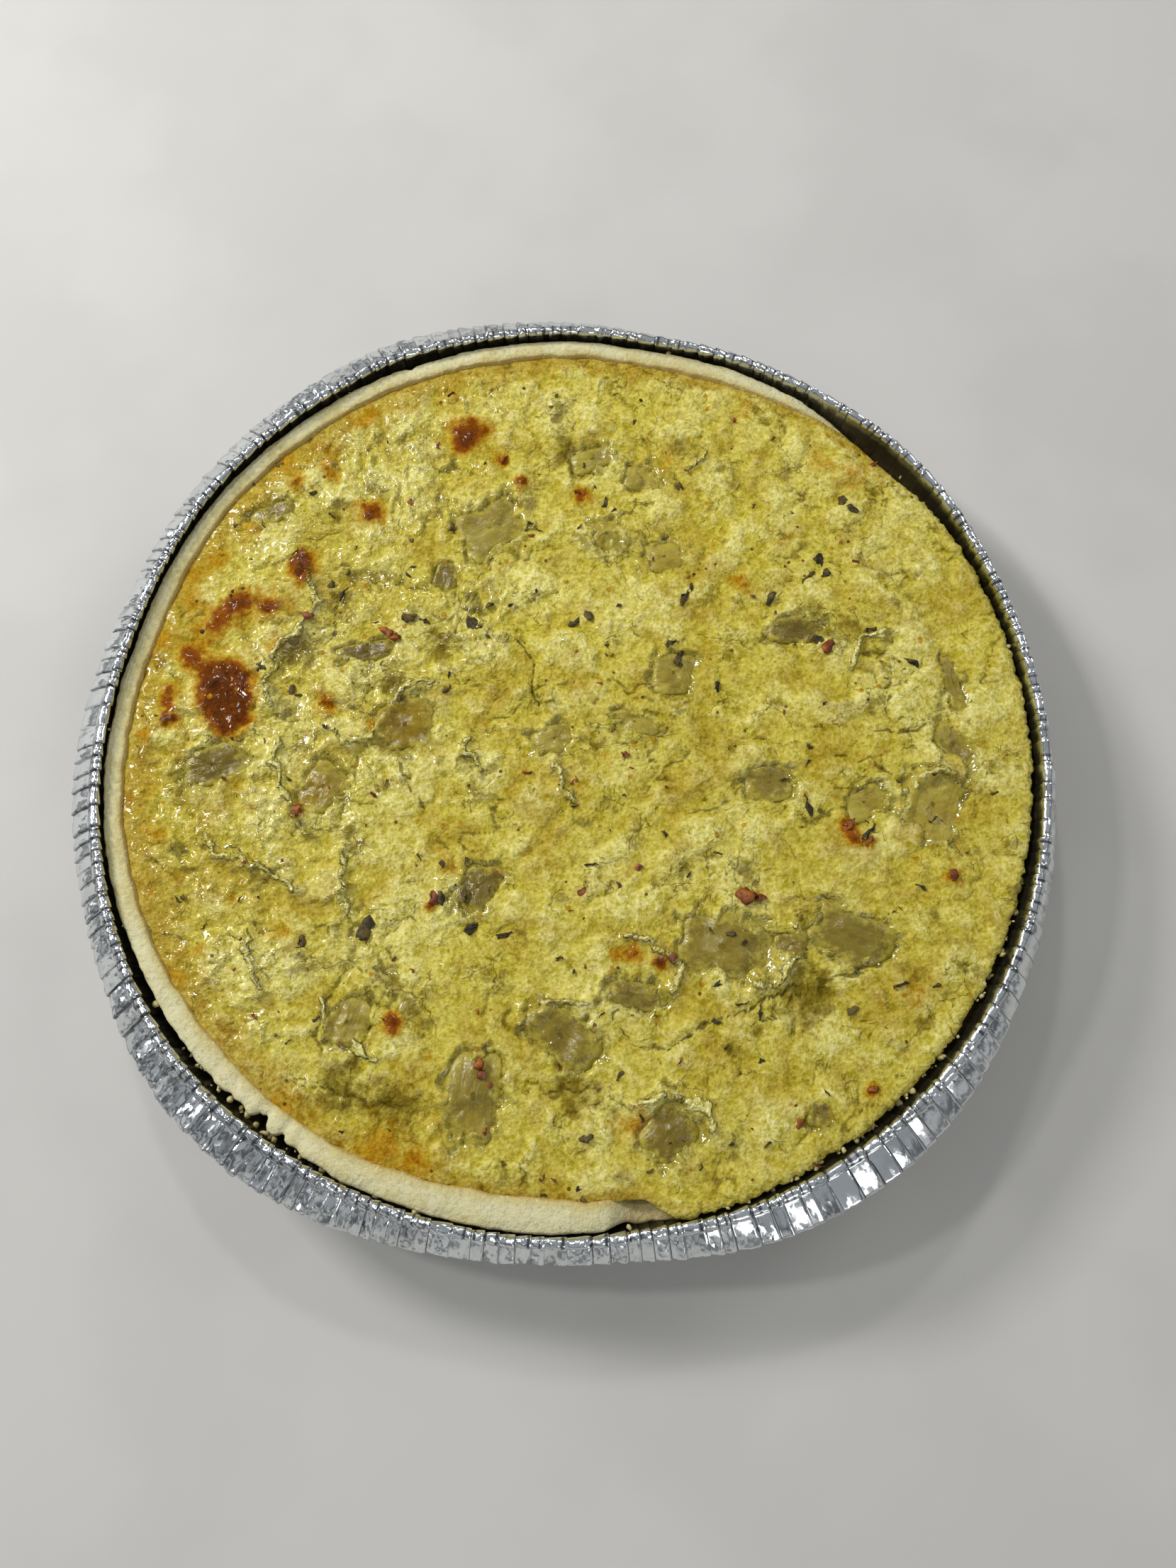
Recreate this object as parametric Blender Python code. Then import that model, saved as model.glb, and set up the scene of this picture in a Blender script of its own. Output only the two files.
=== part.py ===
"""An uncut cheese and onion tart in its own round crimped foil tray.

Metres, +Z up, the front towards -Y. The origin is the middle of the tray's underside, which is
flat and rests on the table. From the bottom up there is a pleated foil tray, a shortcrust case
whose smooth rim shows round the back, the left and the front left, and a baked egg and cheese
filling that has run over the case's edge on the right. Soft pieces of onion lie in the filling,
and herb flecks are baked into its skin.
"""

import math
import random

import bmesh
import bpy
from mathutils import Matrix, Vector

MM = 0.001

# The tray, in millimetres. The rim is a strip of foil that leans outwards and down from a ridge.
TRAY_HEIGHT = 27.0
TRAY_BASE_RADIUS = 81.5
BASE_ROUNDING = 2.0
WALL_BEND_HEIGHT = 12.0
TRAY_SHOULDER_HEIGHT = TRAY_HEIGHT - 5.0
TRAY_SHOULDER_RADIUS = 92.7
RIDGE_RADIUS = 93.1
FOIL_THICKNESS = 0.5
RIM_STRIP_WIDTH = 8.0
RIM_FOLD_AT = 3.0
RIM_CURL_AT = 5.6
RIM_LIP_DROP = 1.3
RIM_LEAN_DEG = 50.0
PLEATS = 48
PLEAT_DEPTH = 0.42
# The middle of the tart, seen from the middle of the tray's outline.
TART_CENTRE = (0.28, -0.64)

# Where the tray was pushed in (less than 0) or pulled out: angle, half width in degrees, and mm.
RIDGE_SHIFTS = (
    (40, 14, 1.3), (78, 7, -0.9), (113, 9, 0.9), (165, 17, -1.6),
    (219, 20, 1.7), (279, 7, -0.7), (325, 34, 1.5),
)
# Where the rim strip stands steeper (more than 0) or was opened flat: angle, half width, degrees.
LEAN_SHIFTS = (
    (10, 35, 8), (50, 12, 5), (118, 28, -16), (180, 22, -9),
    (232, 19, -30), (268, 13, 8), (304, 19, -33),
)

# The shortcrust case, in millimetres. The gap keeps each piece just clear of its neighbour.
FIT_GAP = 0.3
SLOPE_GAP = 1.3 * FIT_GAP
CRUST_RADIUS = 92.0
CRUST_TOP = TRAY_HEIGHT - 3.0
CRUST_LOW_TOP = CRUST_TOP - 3.0
CRUST_FLOOR = 5.0
CRUST_INNER_RADIUS = 86.0
CRUST_INNER_DEPTH = 3.5
CRUST_FLOOR_RADIUS = 77.0
CRUST_FOOT_RADIUS = TRAY_BASE_RADIUS - 1.0
CRUST_ROUNDING = 1.0
CRUST_COLUMNS = 80
# The rim shows from RIM_START round by the left to RIM_END, in degrees from +X. It rises slowly at
# its start and ends in a short step.
RIM_START = 45.0
RIM_RISE = 13.5
RIM_END = 274.5
RIM_STEP = 4.5
# Width of the rim that shows: angle, half width in degrees, and mm more or less than the usual.
RIM_SHOWN_WIDTH = 3.5
RIM_WIDTH_SHIFTS = ((48, 12, -2.1), (224, 16, 0.7), (262, 20, 2.3))

# The filling, in millimetres.
FILLING_LEVEL = CRUST_TOP - 0.3
FILLING_RINGS = 18
FILLING_EDGE_DIP = 0.7
FILLING_EDGE_WIDTH = 5.0
FILLING_SIDE_DROPS = (1.6, 2.4)
# Browned blisters that rise from the skin: x, y, radius and height.
BLISTERS = (
    (-21, 69, 4.5, 0.8), (-41, 50, 4.0, 0.7), (-55, 38, 5.0, 0.8), (-61, 29, 3.5, 0.6),
    (-69, 9, 7.5, 1.1), (-79, 8, 4.0, 0.7), (-72, 25, 4.5, 0.7), (-49, 9, 4.0, 0.5),
    (14, -42, 4.0, 0.8), (-26, -33, 3.5, 0.5), (57, -18, 4.0, 0.6), (-33, -55, 3.5, 0.5),
)
# Creases in the skin: width, depth and points along each.
CREASES = (
    (1.0, 1.0, ((-9.5, 22), (-6.5, 17), (-7.5, 12), (-4.5, 7.5))),
    (1.0, 1.0, ((56, 19.5), (62, 19), (65.5, 16), (64, 7), (66, 3))),
    (1.6, 1.3, ((12, -60.5), (19, -59), (26.5, -55), (34, -52.5), (41.5, -48.5))),
    (1.4, 1.1, ((-54, -65.5), (-45, -66.5), (-36, -69.5), (-29, -70))),
    (1.2, 1.0, ((-48, 32), (-47, 25), (-51, 20))),
    (1.2, 1.0, ((-68, -21), (-61, -23), (-56, -27.5))),
)

# How far past the skin the blade that cuts a crease reaches, as a multiple of the crease's depth.
BLADE_FLARE = 3.0

# The pieces of onion, in millimetres: x, y, length, width, and turn in degrees.
ONIONS = (
    (-16.5, 47, 15, 11, 30), (-25.5, 36.5, 6.5, 5, 80), (5, 63.5, 9, 5.5, 20), (15.5, 59, 8, 6, 0),
    (8, 45.5, 7, 6.5, 90), (20, 40.5, 9, 7, 10), (21.5, 15, 9.5, 8.5, 0), (13.5, 4.5, 9, 5, -10),
    (-2.5, 1, 9, 6, 15), (46.5, 24, 11, 5.5, -5), (40, -8, 10, 8, 0), (78, 13, 12, 3.6, 100),
    (77, 0, 10, 4.5, -50), (72, -12.5, 14, 11.5, 70), (58.5, -12, 9, 7.5, 20),
    (29.5, -40.5, 17, 12, -20), (54.5, -38.5, 16, 10, -20), (43, -40, 6, 5, 0),
    (13, -49.5, 11, 6, -10), (-1, -57, 15, 8.5, -40), (-17, -68, 18, 11, 85), (19, -74.5, 11, 9, 45),
    (46.5, -71, 5.5, 5, 0), (-41, -54.5, 11, 8, 70), (-17, -29, 10, 8, 70), (-32.5, 4, 11, 10, 0),
    (-41, 19.5, 12, 4.2, 10), (-70, -4.5, 13, 7, 25), (-48, -9, 10, 8, 60), (-62, 50.5, 10, 4.5, 25),
)
ONION_DEPTH = 1.5
ONION_WAIST = 0.15
ONION_RISE = 0.45
ONION_CHAMFER = 0.84
ONION_SIDES = 9
POCKET_HEADROOM = 4.0

# The herb flecks: a few large ones by hand (x, y, length, turn), and the rest scattered.
LARGE_FLECKS = (
    (-38, -37, 5.0, 60), (52, 39.5, 4.2, 110), (58, 53, 3.4, -50), (42, 31, 3.6, 55),
    (1.5, 26, 4.0, 15), (10, -64, 2.4, 70), (-6, 46.5, 3.4, -60),
    (4, -75.5, 3.4, 35), (-24, 79, 2.4, 10), (28.5, -48, 2.6, -60), (-19.5, -36.5, 2.6, 80),
)
SMALL_FLECKS = 22
SMALL_FLECK_LENGTH = (1.6, 2.6)
FLECK_RISE = 0.35
FLECK_SUNK = 0.7
FLECK_SIDES = 7
FLECK_CLEARANCE = 3.0
SEED = 7


def clear_scene():
    """Remove whatever the file holds, so that the tart is modelled in an empty one."""
    for item in list(bpy.data.objects):
        bpy.data.objects.remove(item, do_unlink=True)


def hill(angle, centre, half_width):
    """A smooth hill of height 1 at the centre, in degrees round the tray."""
    gap = (angle - centre + 180.0) % 360.0 - 180.0
    return math.exp(-((gap / half_width) ** 2))


def shifted(value, angle, shifts):
    """A value with its hills and dips round the tray added."""
    return value + sum(size * hill(angle, centre, width) for centre, width, size in shifts)


def ramp(value, low, high):
    """0 below low, 1 above high and smooth between."""
    share = min(max((value - low) / (high - low), 0.0), 1.0)
    return share * share * (3.0 - 2.0 * share)


def mix(low, high, share):
    """The value that lies a share of the way from low to high."""
    return low + (high - low) * share


def ridge_radius(angle):
    """Radius of the rim's ridge, the highest line of the foil."""
    return shifted(RIDGE_RADIUS, angle, RIDGE_SHIFTS)


def wall_radius(angle, height):
    """Radius of the middle of the foil wall at a height."""
    lower = mix(TRAY_BASE_RADIUS, TRAY_SHOULDER_RADIUS, height / TRAY_SHOULDER_HEIGHT)
    upper = mix(
        TRAY_SHOULDER_RADIUS, RIDGE_RADIUS,
        (height - TRAY_SHOULDER_HEIGHT) / (TRAY_HEIGHT - TRAY_SHOULDER_HEIGHT),
    )
    plain = lower if height < TRAY_SHOULDER_HEIGHT else upper
    return plain + (ridge_radius(angle) - RIDGE_RADIUS) * (height / TRAY_HEIGHT) ** 2


def tray_profile(angle):
    """The foil's middle line from the edge of its base to its lip, with each point's pleat share."""
    half = FOIL_THICKNESS / 2
    lean = math.radians(shifted(RIM_LEAN_DEG, angle, LEAN_SHIFTS))
    ridge = ridge_radius(angle)
    line = [
        (TRAY_BASE_RADIUS - 0.6 * BASE_ROUNDING, half, 0.0),
        (wall_radius(angle, BASE_ROUNDING) - 0.2, BASE_ROUNDING, 0.3),
        (wall_radius(angle, WALL_BEND_HEIGHT), WALL_BEND_HEIGHT, 0.8),
        (wall_radius(angle, TRAY_SHOULDER_HEIGHT), TRAY_SHOULDER_HEIGHT, 1.0),
        (ridge, TRAY_HEIGHT - half, 0.5),
    ]
    for along, share in ((RIM_FOLD_AT, 1.0), (RIM_CURL_AT, -0.6), (RIM_STRIP_WIDTH, 0.8)):
        out = ridge + along * math.cos(lean)
        line.append((out, TRAY_HEIGHT - half - along * math.sin(lean), share))
    line.append((line[-1][0] - 0.2, line[-1][1] - RIM_LIP_DROP, 0.8))
    return line


def offset_line(line, distance):
    """A line of radius and height points, moved sideways by a distance."""
    moved = []
    for here in range(len(line)):
        before = Vector(line[max(here - 1, 0)])
        after = Vector(line[min(here + 1, len(line) - 1)])
        run = (after - before).normalized()
        point = Vector(line[here])
        moved.append((point.x - run.y * distance, point.y + run.x * distance))
    return moved


def turned_point(angle, radius, height):
    """The place of a point of a round piece, from its angle in degrees, radius and height."""
    turn = math.radians(angle)
    return (
        MM * (TART_CENTRE[0] + radius * math.cos(turn)),
        MM * (TART_CENTRE[1] + radius * math.sin(turn)),
        MM * height,
    )


def closed_shell(name, columns, material):
    """A round solid from columns of points: each runs from the underside's edge to the inside's.

    Each column is closed across the middle by a flat cap at its two ends.
    """
    mesh = bmesh.new()
    rows = [[mesh.verts.new(point) for point in column] for column in columns]
    count = len(rows)
    for here in range(count):
        left, right = rows[here], rows[(here + 1) % count]
        for row in range(len(left) - 1):
            mesh.faces.new((left[row], right[row], right[row + 1], left[row + 1]))
    mesh.faces.new([row[0] for row in reversed(rows)])
    mesh.faces.new([row[-1] for row in rows])
    return finished_object(name, mesh, material)


def finished_object(name, mesh, material):
    """Put a bmesh into the scene as a smooth shaded object with its one material."""
    bmesh.ops.recalc_face_normals(mesh, faces=mesh.faces)
    data = bpy.data.meshes.new(name)
    mesh.to_mesh(data)
    mesh.free()
    data.shade_smooth()
    data.set_sharp_from_angle(angle=math.radians(35))
    data.materials.append(material)
    item = bpy.data.objects.new(name, data)
    bpy.context.scene.collection.objects.link(item)
    return item


def plain_material(name, colour, roughness, metallic=0.0):
    """A Principled material of one colour."""
    material = bpy.data.materials.new(name)
    material.use_nodes = True
    shader = material.node_tree.nodes["Principled BSDF"]
    shader.inputs["Base Color"].default_value = (*colour, 1.0)
    shader.inputs["Roughness"].default_value = roughness
    shader.inputs["Metallic"].default_value = metallic
    return material


def build_tray():
    """The foil tray: a flat base, a tapered pleated wall, a ridge and a leaning crimped rim."""
    dice = random.Random(SEED)
    columns = []
    for pleat in range(2 * PLEATS):
        angle = 360.0 * pleat / (2 * PLEATS)
        fold = (1 if pleat % 2 else -1) * PLEAT_DEPTH * dice.uniform(0.5, 1.0)
        line = tray_profile(angle)
        middle = [(radius + fold * share, height) for radius, height, share in line]
        outside = offset_line(middle, -FOIL_THICKNESS / 2)
        inside = offset_line(middle, FOIL_THICKNESS / 2)
        outside[0] = (outside[0][0], 0.0)
        inside[0] = (inside[0][0], FOIL_THICKNESS)
        section = outside + inside[::-1]
        columns.append([turned_point(angle, radius, height) for radius, height in section])
    return closed_shell("foil_tray", columns, plain_material("foil", (0.74, 0.75, 0.76), 0.3, 1.0))


def rim_shown(angle):
    """1 where the case's rim stands high, 0 where it is low and the filling covers it."""
    rise = ramp(angle, RIM_START, RIM_START + RIM_RISE)
    return rise * (1.0 - ramp(angle, RIM_END, RIM_END + RIM_STEP))


def filling_held(angle):
    """1 where the filling stops at the rim, 0 where it runs over the case's low edge."""
    rise = ramp(angle, RIM_START - RIM_RISE, RIM_START)
    return rise * (1.0 - ramp(angle, RIM_END + RIM_STEP, RIM_END + 2 * RIM_STEP))


def case_outer_radius(angle, height):
    """Outer radius of the case at a height: round, but clear of the foil where that is dented."""
    room = wall_radius(angle, height) - FOIL_THICKNESS / 2 - PLEAT_DEPTH - SLOPE_GAP
    return min(CRUST_RADIUS, room)


def crust_radius(angle):
    """Outer radius of the case at its top."""
    return case_outer_radius(angle, CRUST_TOP)


def rim_width(angle):
    """Width of the case's rim from its outer edge to the filling."""
    return shifted(RIM_SHOWN_WIDTH, angle, RIM_WIDTH_SHIFTS)


def crust_top(angle):
    """Height of the case's rim, which broke down to a low edge where the filling covers it."""
    return mix(CRUST_LOW_TOP, CRUST_TOP, rim_shown(angle))


def case_inside(angle):
    """The case's inner line, from the top of its rim down to its floor."""
    inner = crust_radius(angle) - rim_width(angle)
    top = crust_top(angle)
    return [
        (inner, top - CRUST_ROUNDING),
        (min(CRUST_INNER_RADIUS, inner - 0.4), CRUST_LOW_TOP - CRUST_INNER_DEPTH),
        (CRUST_FLOOR_RADIUS, CRUST_FLOOR),
    ]


def case_inside_radius(angle, height):
    """Radius of the case's inner wall at a height between its shoulder and its rim."""
    (inner, upper), (shoulder, lower) = case_inside(angle)[:2]
    return mix(shoulder, inner, min((height - lower) / (upper - lower), 1.0))


def build_case():
    """The shortcrust case, with a rounded rim that is high on the left and low on the right."""
    underside = FOIL_THICKNESS + FIT_GAP
    columns = []
    for column in range(CRUST_COLUMNS):
        angle = 360.0 * column / CRUST_COLUMNS
        outer = crust_radius(angle)
        width = rim_width(angle)
        top = crust_top(angle)
        section = [(CRUST_FOOT_RADIUS - BASE_ROUNDING, underside)]
        levels = (
            underside + BASE_ROUNDING, WALL_BEND_HEIGHT, CRUST_LOW_TOP - CRUST_ROUNDING,
            top - CRUST_ROUNDING + 0.1,
        )
        section += [(case_outer_radius(angle, level), level) for level in levels]
        section += [(outer - 0.22 * width, top - 0.2), (outer - 0.6 * width, top)]
        section += case_inside(angle)
        columns.append([turned_point(angle, radius, height) for radius, height in section])
    return closed_shell("pastry_case", columns, plain_material("pastry", (0.86, 0.76, 0.50), 0.65))


def undulation(x, y):
    """The slow rise and fall of the baked skin, in millimetres."""
    return (
        0.28 * math.sin(0.115 * x + 0.04 * y + 0.6) * math.cos(0.095 * y - 0.03 * x)
        + 0.22 * math.sin(0.21 * x - 0.13 * y + 2.1) * math.sin(0.19 * y + 0.07 * x + 0.8)
        + 0.15 * math.cos(0.34 * x + 0.29 * y + 1.0)
    )


def filling_radius(angle):
    """Radius of the filling's top: up to the rim where that shows, and over the case elsewhere."""
    inside = crust_radius(angle) - rim_width(angle) - FIT_GAP
    return mix(crust_radius(angle) - FIT_GAP, inside, filling_held(angle))


def filling_height(x, y):
    """Height of the filling's skin at a place measured from the tart's middle."""
    angle = math.degrees(math.atan2(y, x)) % 360.0
    edge = filling_radius(angle)
    distance = math.hypot(x, y)
    near_edge = ramp(distance, edge - FILLING_EDGE_WIDTH, edge)
    rise = undulation(x, y)
    for centre_x, centre_y, radius, size in BLISTERS:
        apart = math.hypot(x - centre_x, y - centre_y) / radius
        rise += size * math.exp(-apart * apart)
    return FILLING_LEVEL + rise * (1.0 - near_edge) - FILLING_EDGE_DIP * near_edge


def disc_point(across, up):
    """Map a point of the square from -1 to 1 onto the unit disc, keeping squares about even."""
    if across == 0 and up == 0:
        return 0.0, 0.0
    if abs(across) > abs(up):
        radius, turn = across, math.pi / 4 * up / across
    else:
        radius, turn = up, math.pi / 2 - math.pi / 4 * across / up
    return radius * math.cos(turn), radius * math.sin(turn)


def filling_side(angle):
    """The filling's side below its skin, at an angle, from the top down to its underside."""
    inner, shoulder, foot = case_inside(angle)
    lip = CRUST_LOW_TOP + FIT_GAP
    edge = filling_radius(angle) - 0.2
    upper, lower = (CRUST_TOP - drop for drop in FILLING_SIDE_DROPS)
    held = filling_held(angle)
    return [
        (
            mix(edge, case_inside_radius(angle, upper) - SLOPE_GAP, held),
            mix(lip + 0.15, upper, held),
        ),
        (
            mix(inner[0], case_inside_radius(angle, lower), held) - SLOPE_GAP,
            mix(lip, lower, held),
        ),
        (shoulder[0] - SLOPE_GAP, shoulder[1] + FIT_GAP),
        (foot[0] - SLOPE_GAP, foot[1] + FIT_GAP),
    ]


def build_filling():
    """The filling: a squared grid drawn onto a disc for its skin, and a tapered side below."""
    mesh = bmesh.new()
    count = FILLING_RINGS
    grid = {}
    for i in range(-count, count + 1):
        for j in range(-count, count + 1):
            across, up = disc_point(i / count, j / count)
            angle = math.degrees(math.atan2(up, across)) % 360.0
            radius = math.hypot(across, up) * filling_radius(angle)
            turn = math.radians(angle)
            height = filling_height(radius * math.cos(turn), radius * math.sin(turn))
            grid[i, j] = mesh.verts.new(turned_point(angle, radius, height))
    for i in range(-count, count):
        for j in range(-count, count):
            mesh.faces.new((grid[i, j], grid[i + 1, j], grid[i + 1, j + 1], grid[i, j + 1]))
    border = [(i, -count) for i in range(-count, count)]
    border += [(count, j) for j in range(-count, count)]
    border += [(i, count) for i in range(count, -count, -1)]
    border += [(-count, j) for j in range(count, -count, -1)]
    upper = [grid[key] for key in border]
    angles = []
    for i, j in border:
        across, up = disc_point(i / count, j / count)
        angles.append(math.degrees(math.atan2(up, across)) % 360.0)
    sides = [filling_side(angle) for angle in angles]
    for level in range(len(sides[0])):
        lower = [
            mesh.verts.new(turned_point(angle, *side[level])) for angle, side in zip(angles, sides)
        ]
        for here in range(len(upper)):
            after = (here + 1) % len(upper)
            mesh.faces.new((upper[here], lower[here], lower[after], upper[after]))
        upper = lower
    mesh.faces.new(list(reversed(upper)))
    bmesh.ops.triangulate(mesh, faces=[face for face in mesh.faces if len(face.verts) == 4])
    return finished_object("filling", mesh, plain_material("filling", (0.80, 0.66, 0.26), 0.45))


def onion_outline(dice, length, width, grown):
    """The outline of a piece of onion: a rounded block whose corners are all a little different."""
    points = []
    for side in range(ONION_SIDES):
        turn = math.tau * side / ONION_SIDES
        across, up = math.cos(turn), math.sin(turn)
        square = (abs(across) ** 3 + abs(up) ** 3) ** (-1 / 3)
        uneven = dice.uniform(0.86, 1.04)
        points.append((
            (length / 2 * uneven + grown) * square * across,
            (width / 2 * uneven + grown) * square * up,
        ))
    return points


def block_on_skin(name, place, turn_deg, levels, material):
    """A closed block of stacked outlines, each with its height, standing at a place on the skin."""
    mesh = bmesh.new()
    turn = Matrix.Rotation(math.radians(turn_deg), 2)
    rings = []
    for outline, height in levels:
        ring = []
        for point in outline:
            x, y = turn @ Vector(point)
            x, y = x + place[0], y + place[1]
            ring.append(mesh.verts.new((
                MM * (x + TART_CENTRE[0]), MM * (y + TART_CENTRE[1]), MM * height(x, y))))
        rings.append(ring)
    for low, high in zip(rings, rings[1:]):
        for here in range(len(low)):
            after = (here + 1) % len(low)
            mesh.faces.new((low[here], low[after], high[after], high[here]))
    mesh.faces.new(list(reversed(rings[0])))
    mesh.faces.new(rings[-1])
    bmesh.ops.triangulate(mesh, faces=[face for face in mesh.faces if len(face.verts) > 4])
    return finished_object(name, mesh, material)


def hidden_cutter(item, group):
    """Turn an object into a cutter that is only seen as wires, and move it into a group."""
    item.hide_render = True
    item.display_type = "WIRE"
    bpy.context.scene.collection.objects.unlink(item)
    group.objects.link(item)


def build_onions(cutters):
    """The pieces of onion, each in a pocket of the filling that is a little larger than it is."""
    flesh = plain_material("onion", (0.60, 0.53, 0.27), 0.25)
    for number, (x, y, length, width, turn) in enumerate(ONIONS, start=1):
        middle = filling_height(x, y)
        full = onion_outline(random.Random(SEED + number), length, width, 0.0)
        narrow = [(ONION_CHAMFER * across, ONION_CHAMFER * up) for across, up in full]
        pocket = onion_outline(random.Random(SEED + number), length, width, FIT_GAP + 0.05)
        block_on_skin(
            f"onion_piece_{number:02d}", (x, y), turn,
            [
                (narrow, lambda x, y, z=middle: z - ONION_DEPTH),
                (full, lambda x, y: filling_height(x, y) - ONION_WAIST),
                (narrow, lambda x, y: filling_height(x, y) + ONION_RISE),
            ],
            flesh,
        )
        cutter = block_on_skin(
            f"pocket_{number:02d}", (x, y), turn,
            [
                (pocket, lambda x, y, z=middle: z - ONION_DEPTH - FIT_GAP),
                (pocket, lambda x, y, z=middle: z + POCKET_HEADROOM),
            ],
            flesh,
        )
        hidden_cutter(cutter, cutters)


def build_creases(cutters):
    """The creases: V-shaped blades along short lines, which the filling is cut by."""
    blade_material = plain_material("crease", (0.4, 0.35, 0.2), 0.5)
    for number, (width, depth, points) in enumerate(CREASES, start=1):
        mesh = bmesh.new()
        rings = []
        last = len(points) - 1
        for here, (x, y) in enumerate(points):
            run = Vector(points[min(here + 1, last)]) - Vector(points[max(here - 1, 0)])
            side = Vector((-run.y, run.x)).normalized() * width / 2
            taper = 0.35 if here in (0, last) else 1.0
            skin = filling_height(x, y)
            top = skin + (BLADE_FLARE - 1) * depth * taper
            ring = [
                (x, y, skin - depth * taper),
                (x + BLADE_FLARE * side.x * taper, y + BLADE_FLARE * side.y * taper, top),
                (x - BLADE_FLARE * side.x * taper, y - BLADE_FLARE * side.y * taper, top),
            ]
            rings.append([
                mesh.verts.new((MM * (a + TART_CENTRE[0]), MM * (b + TART_CENTRE[1]), MM * c))
                for a, b, c in ring
            ])
        for low, high in zip(rings, rings[1:]):
            for corner in range(3):
                after = (corner + 1) % 3
                mesh.faces.new((low[corner], low[after], high[after], high[corner]))
        mesh.faces.new(list(reversed(rings[0])))
        mesh.faces.new(rings[-1])
        bmesh.ops.triangulate(mesh, faces=list(mesh.faces))
        hidden_cutter(finished_object(f"crease_{number}", mesh, blade_material), cutters)


def fleck_places():
    """The places of the flecks: the large ones, and small ones scattered clear of all else."""
    places = [(x, y, length, turn) for x, y, length, turn in LARGE_FLECKS]
    taken = [(x, y, length / 2) for x, y, length, turn in places]
    taken += [(x, y, length / 2) for x, y, length, width, turn in ONIONS]
    taken += [(x, y, 2.0) for width, depth, points in CREASES for x, y in points]
    dice = random.Random(SEED)
    while len(places) < len(LARGE_FLECKS) + SMALL_FLECKS:
        angle = dice.uniform(0.0, math.tau)
        radius = 82.0 * math.sqrt(dice.random())
        x, y = radius * math.cos(angle), radius * math.sin(angle)
        if all(math.hypot(x - a, y - b) > size + FLECK_CLEARANCE for a, b, size in taken):
            length = dice.uniform(*SMALL_FLECK_LENGTH)
            places.append((x, y, length, dice.uniform(0.0, 180.0)))
            taken.append((x, y, length / 2))
    return places


def build_flecks(group):
    """The herb flecks: small pointed leaves that are fused into the filling's skin."""
    leaf = plain_material("herb", (0.05, 0.07, 0.03), 0.5)
    for number, (x, y, length, turn) in enumerate(fleck_places(), start=1):
        dice = random.Random(SEED * 100 + number)
        outline = []
        for side in range(FLECK_SIDES):
            around = math.tau * side / FLECK_SIDES
            uneven = dice.uniform(0.8, 1.1)
            outline.append((
                length / 2 * uneven * math.cos(around), length / 4 * uneven * math.sin(around)))
        top = [(0.75 * across, 0.75 * up) for across, up in outline]
        middle = filling_height(x, y)
        item = block_on_skin(
            f"fleck_{number:02d}", (x, y), turn,
            [
                (outline, lambda x, y, z=middle: z - FLECK_SUNK),
                (top, lambda x, y: filling_height(x, y) + FLECK_RISE),
            ],
            leaf,
        )
        bpy.context.scene.collection.objects.unlink(item)
        group.objects.link(item)


def apply_boolean(item, operation, group):
    """Cut an object with, or join to it, all the objects of a group, and remove the group."""
    boolean = item.modifiers.new(operation.lower(), "BOOLEAN")
    boolean.operation = operation
    boolean.operand_type = "COLLECTION"
    boolean.collection = group
    boolean.solver = "EXACT"
    bpy.context.view_layer.update()
    graph = bpy.context.evaluated_depsgraph_get()
    result = bpy.data.meshes.new_from_object(item.evaluated_get(graph))
    item.modifiers.clear()
    item.data = result
    for operand in list(group.objects):
        bpy.data.objects.remove(operand, do_unlink=True)
    bpy.data.collections.remove(group)


def new_group(name):
    """A collection that is linked to the scene."""
    group = bpy.data.collections.new(name)
    bpy.context.scene.collection.children.link(group)
    return group


def main():
    """Build the tray, the case and the filling, then set the onion and the herbs into it."""
    clear_scene()
    build_tray()
    build_case()
    filling = build_filling()
    cutters = new_group("cutters")
    build_onions(cutters)
    build_creases(cutters)
    apply_boolean(filling, "DIFFERENCE", cutters)
    flecks = new_group("flecks")
    build_flecks(flecks)
    apply_boolean(filling, "UNION", flecks)


main()
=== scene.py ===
"""A cheese and onion tart in its crimped foil tray, dressed for the render.

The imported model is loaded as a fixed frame. Each of its nodes is then replaced by a detailed piece
in the same place: the crumpled foil tray, the shortcrust case, the baked filling with its cracks
and browned blisters, and the soft pieces of onion. Herbs, baked bits and crumbs are scattered with
Geometry Nodes. Sizes are in millimetres and angles in degrees round the tart, from +X, until a mesh
is made.
"""

from __future__ import annotations

import logging
import math
import random
from dataclasses import dataclass, field
from enum import Enum

import bpy
import numpy as np
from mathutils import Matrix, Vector

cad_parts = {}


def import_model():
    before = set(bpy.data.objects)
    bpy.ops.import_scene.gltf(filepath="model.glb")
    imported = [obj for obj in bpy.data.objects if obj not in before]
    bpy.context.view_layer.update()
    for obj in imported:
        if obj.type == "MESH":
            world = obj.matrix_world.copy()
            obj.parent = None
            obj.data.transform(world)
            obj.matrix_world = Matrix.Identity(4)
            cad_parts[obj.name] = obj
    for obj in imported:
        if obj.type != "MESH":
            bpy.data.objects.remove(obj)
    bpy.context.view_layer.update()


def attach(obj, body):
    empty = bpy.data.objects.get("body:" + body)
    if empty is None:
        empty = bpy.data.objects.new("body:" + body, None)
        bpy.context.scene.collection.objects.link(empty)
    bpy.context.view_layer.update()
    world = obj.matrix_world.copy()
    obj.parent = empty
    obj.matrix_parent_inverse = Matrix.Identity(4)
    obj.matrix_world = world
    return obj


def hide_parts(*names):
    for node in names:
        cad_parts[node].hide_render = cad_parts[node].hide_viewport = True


MM = 0.001
BODY = "root"

log = logging.getLogger("tart")

# One number, or one for each of many places.
Values = float | np.ndarray
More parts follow.
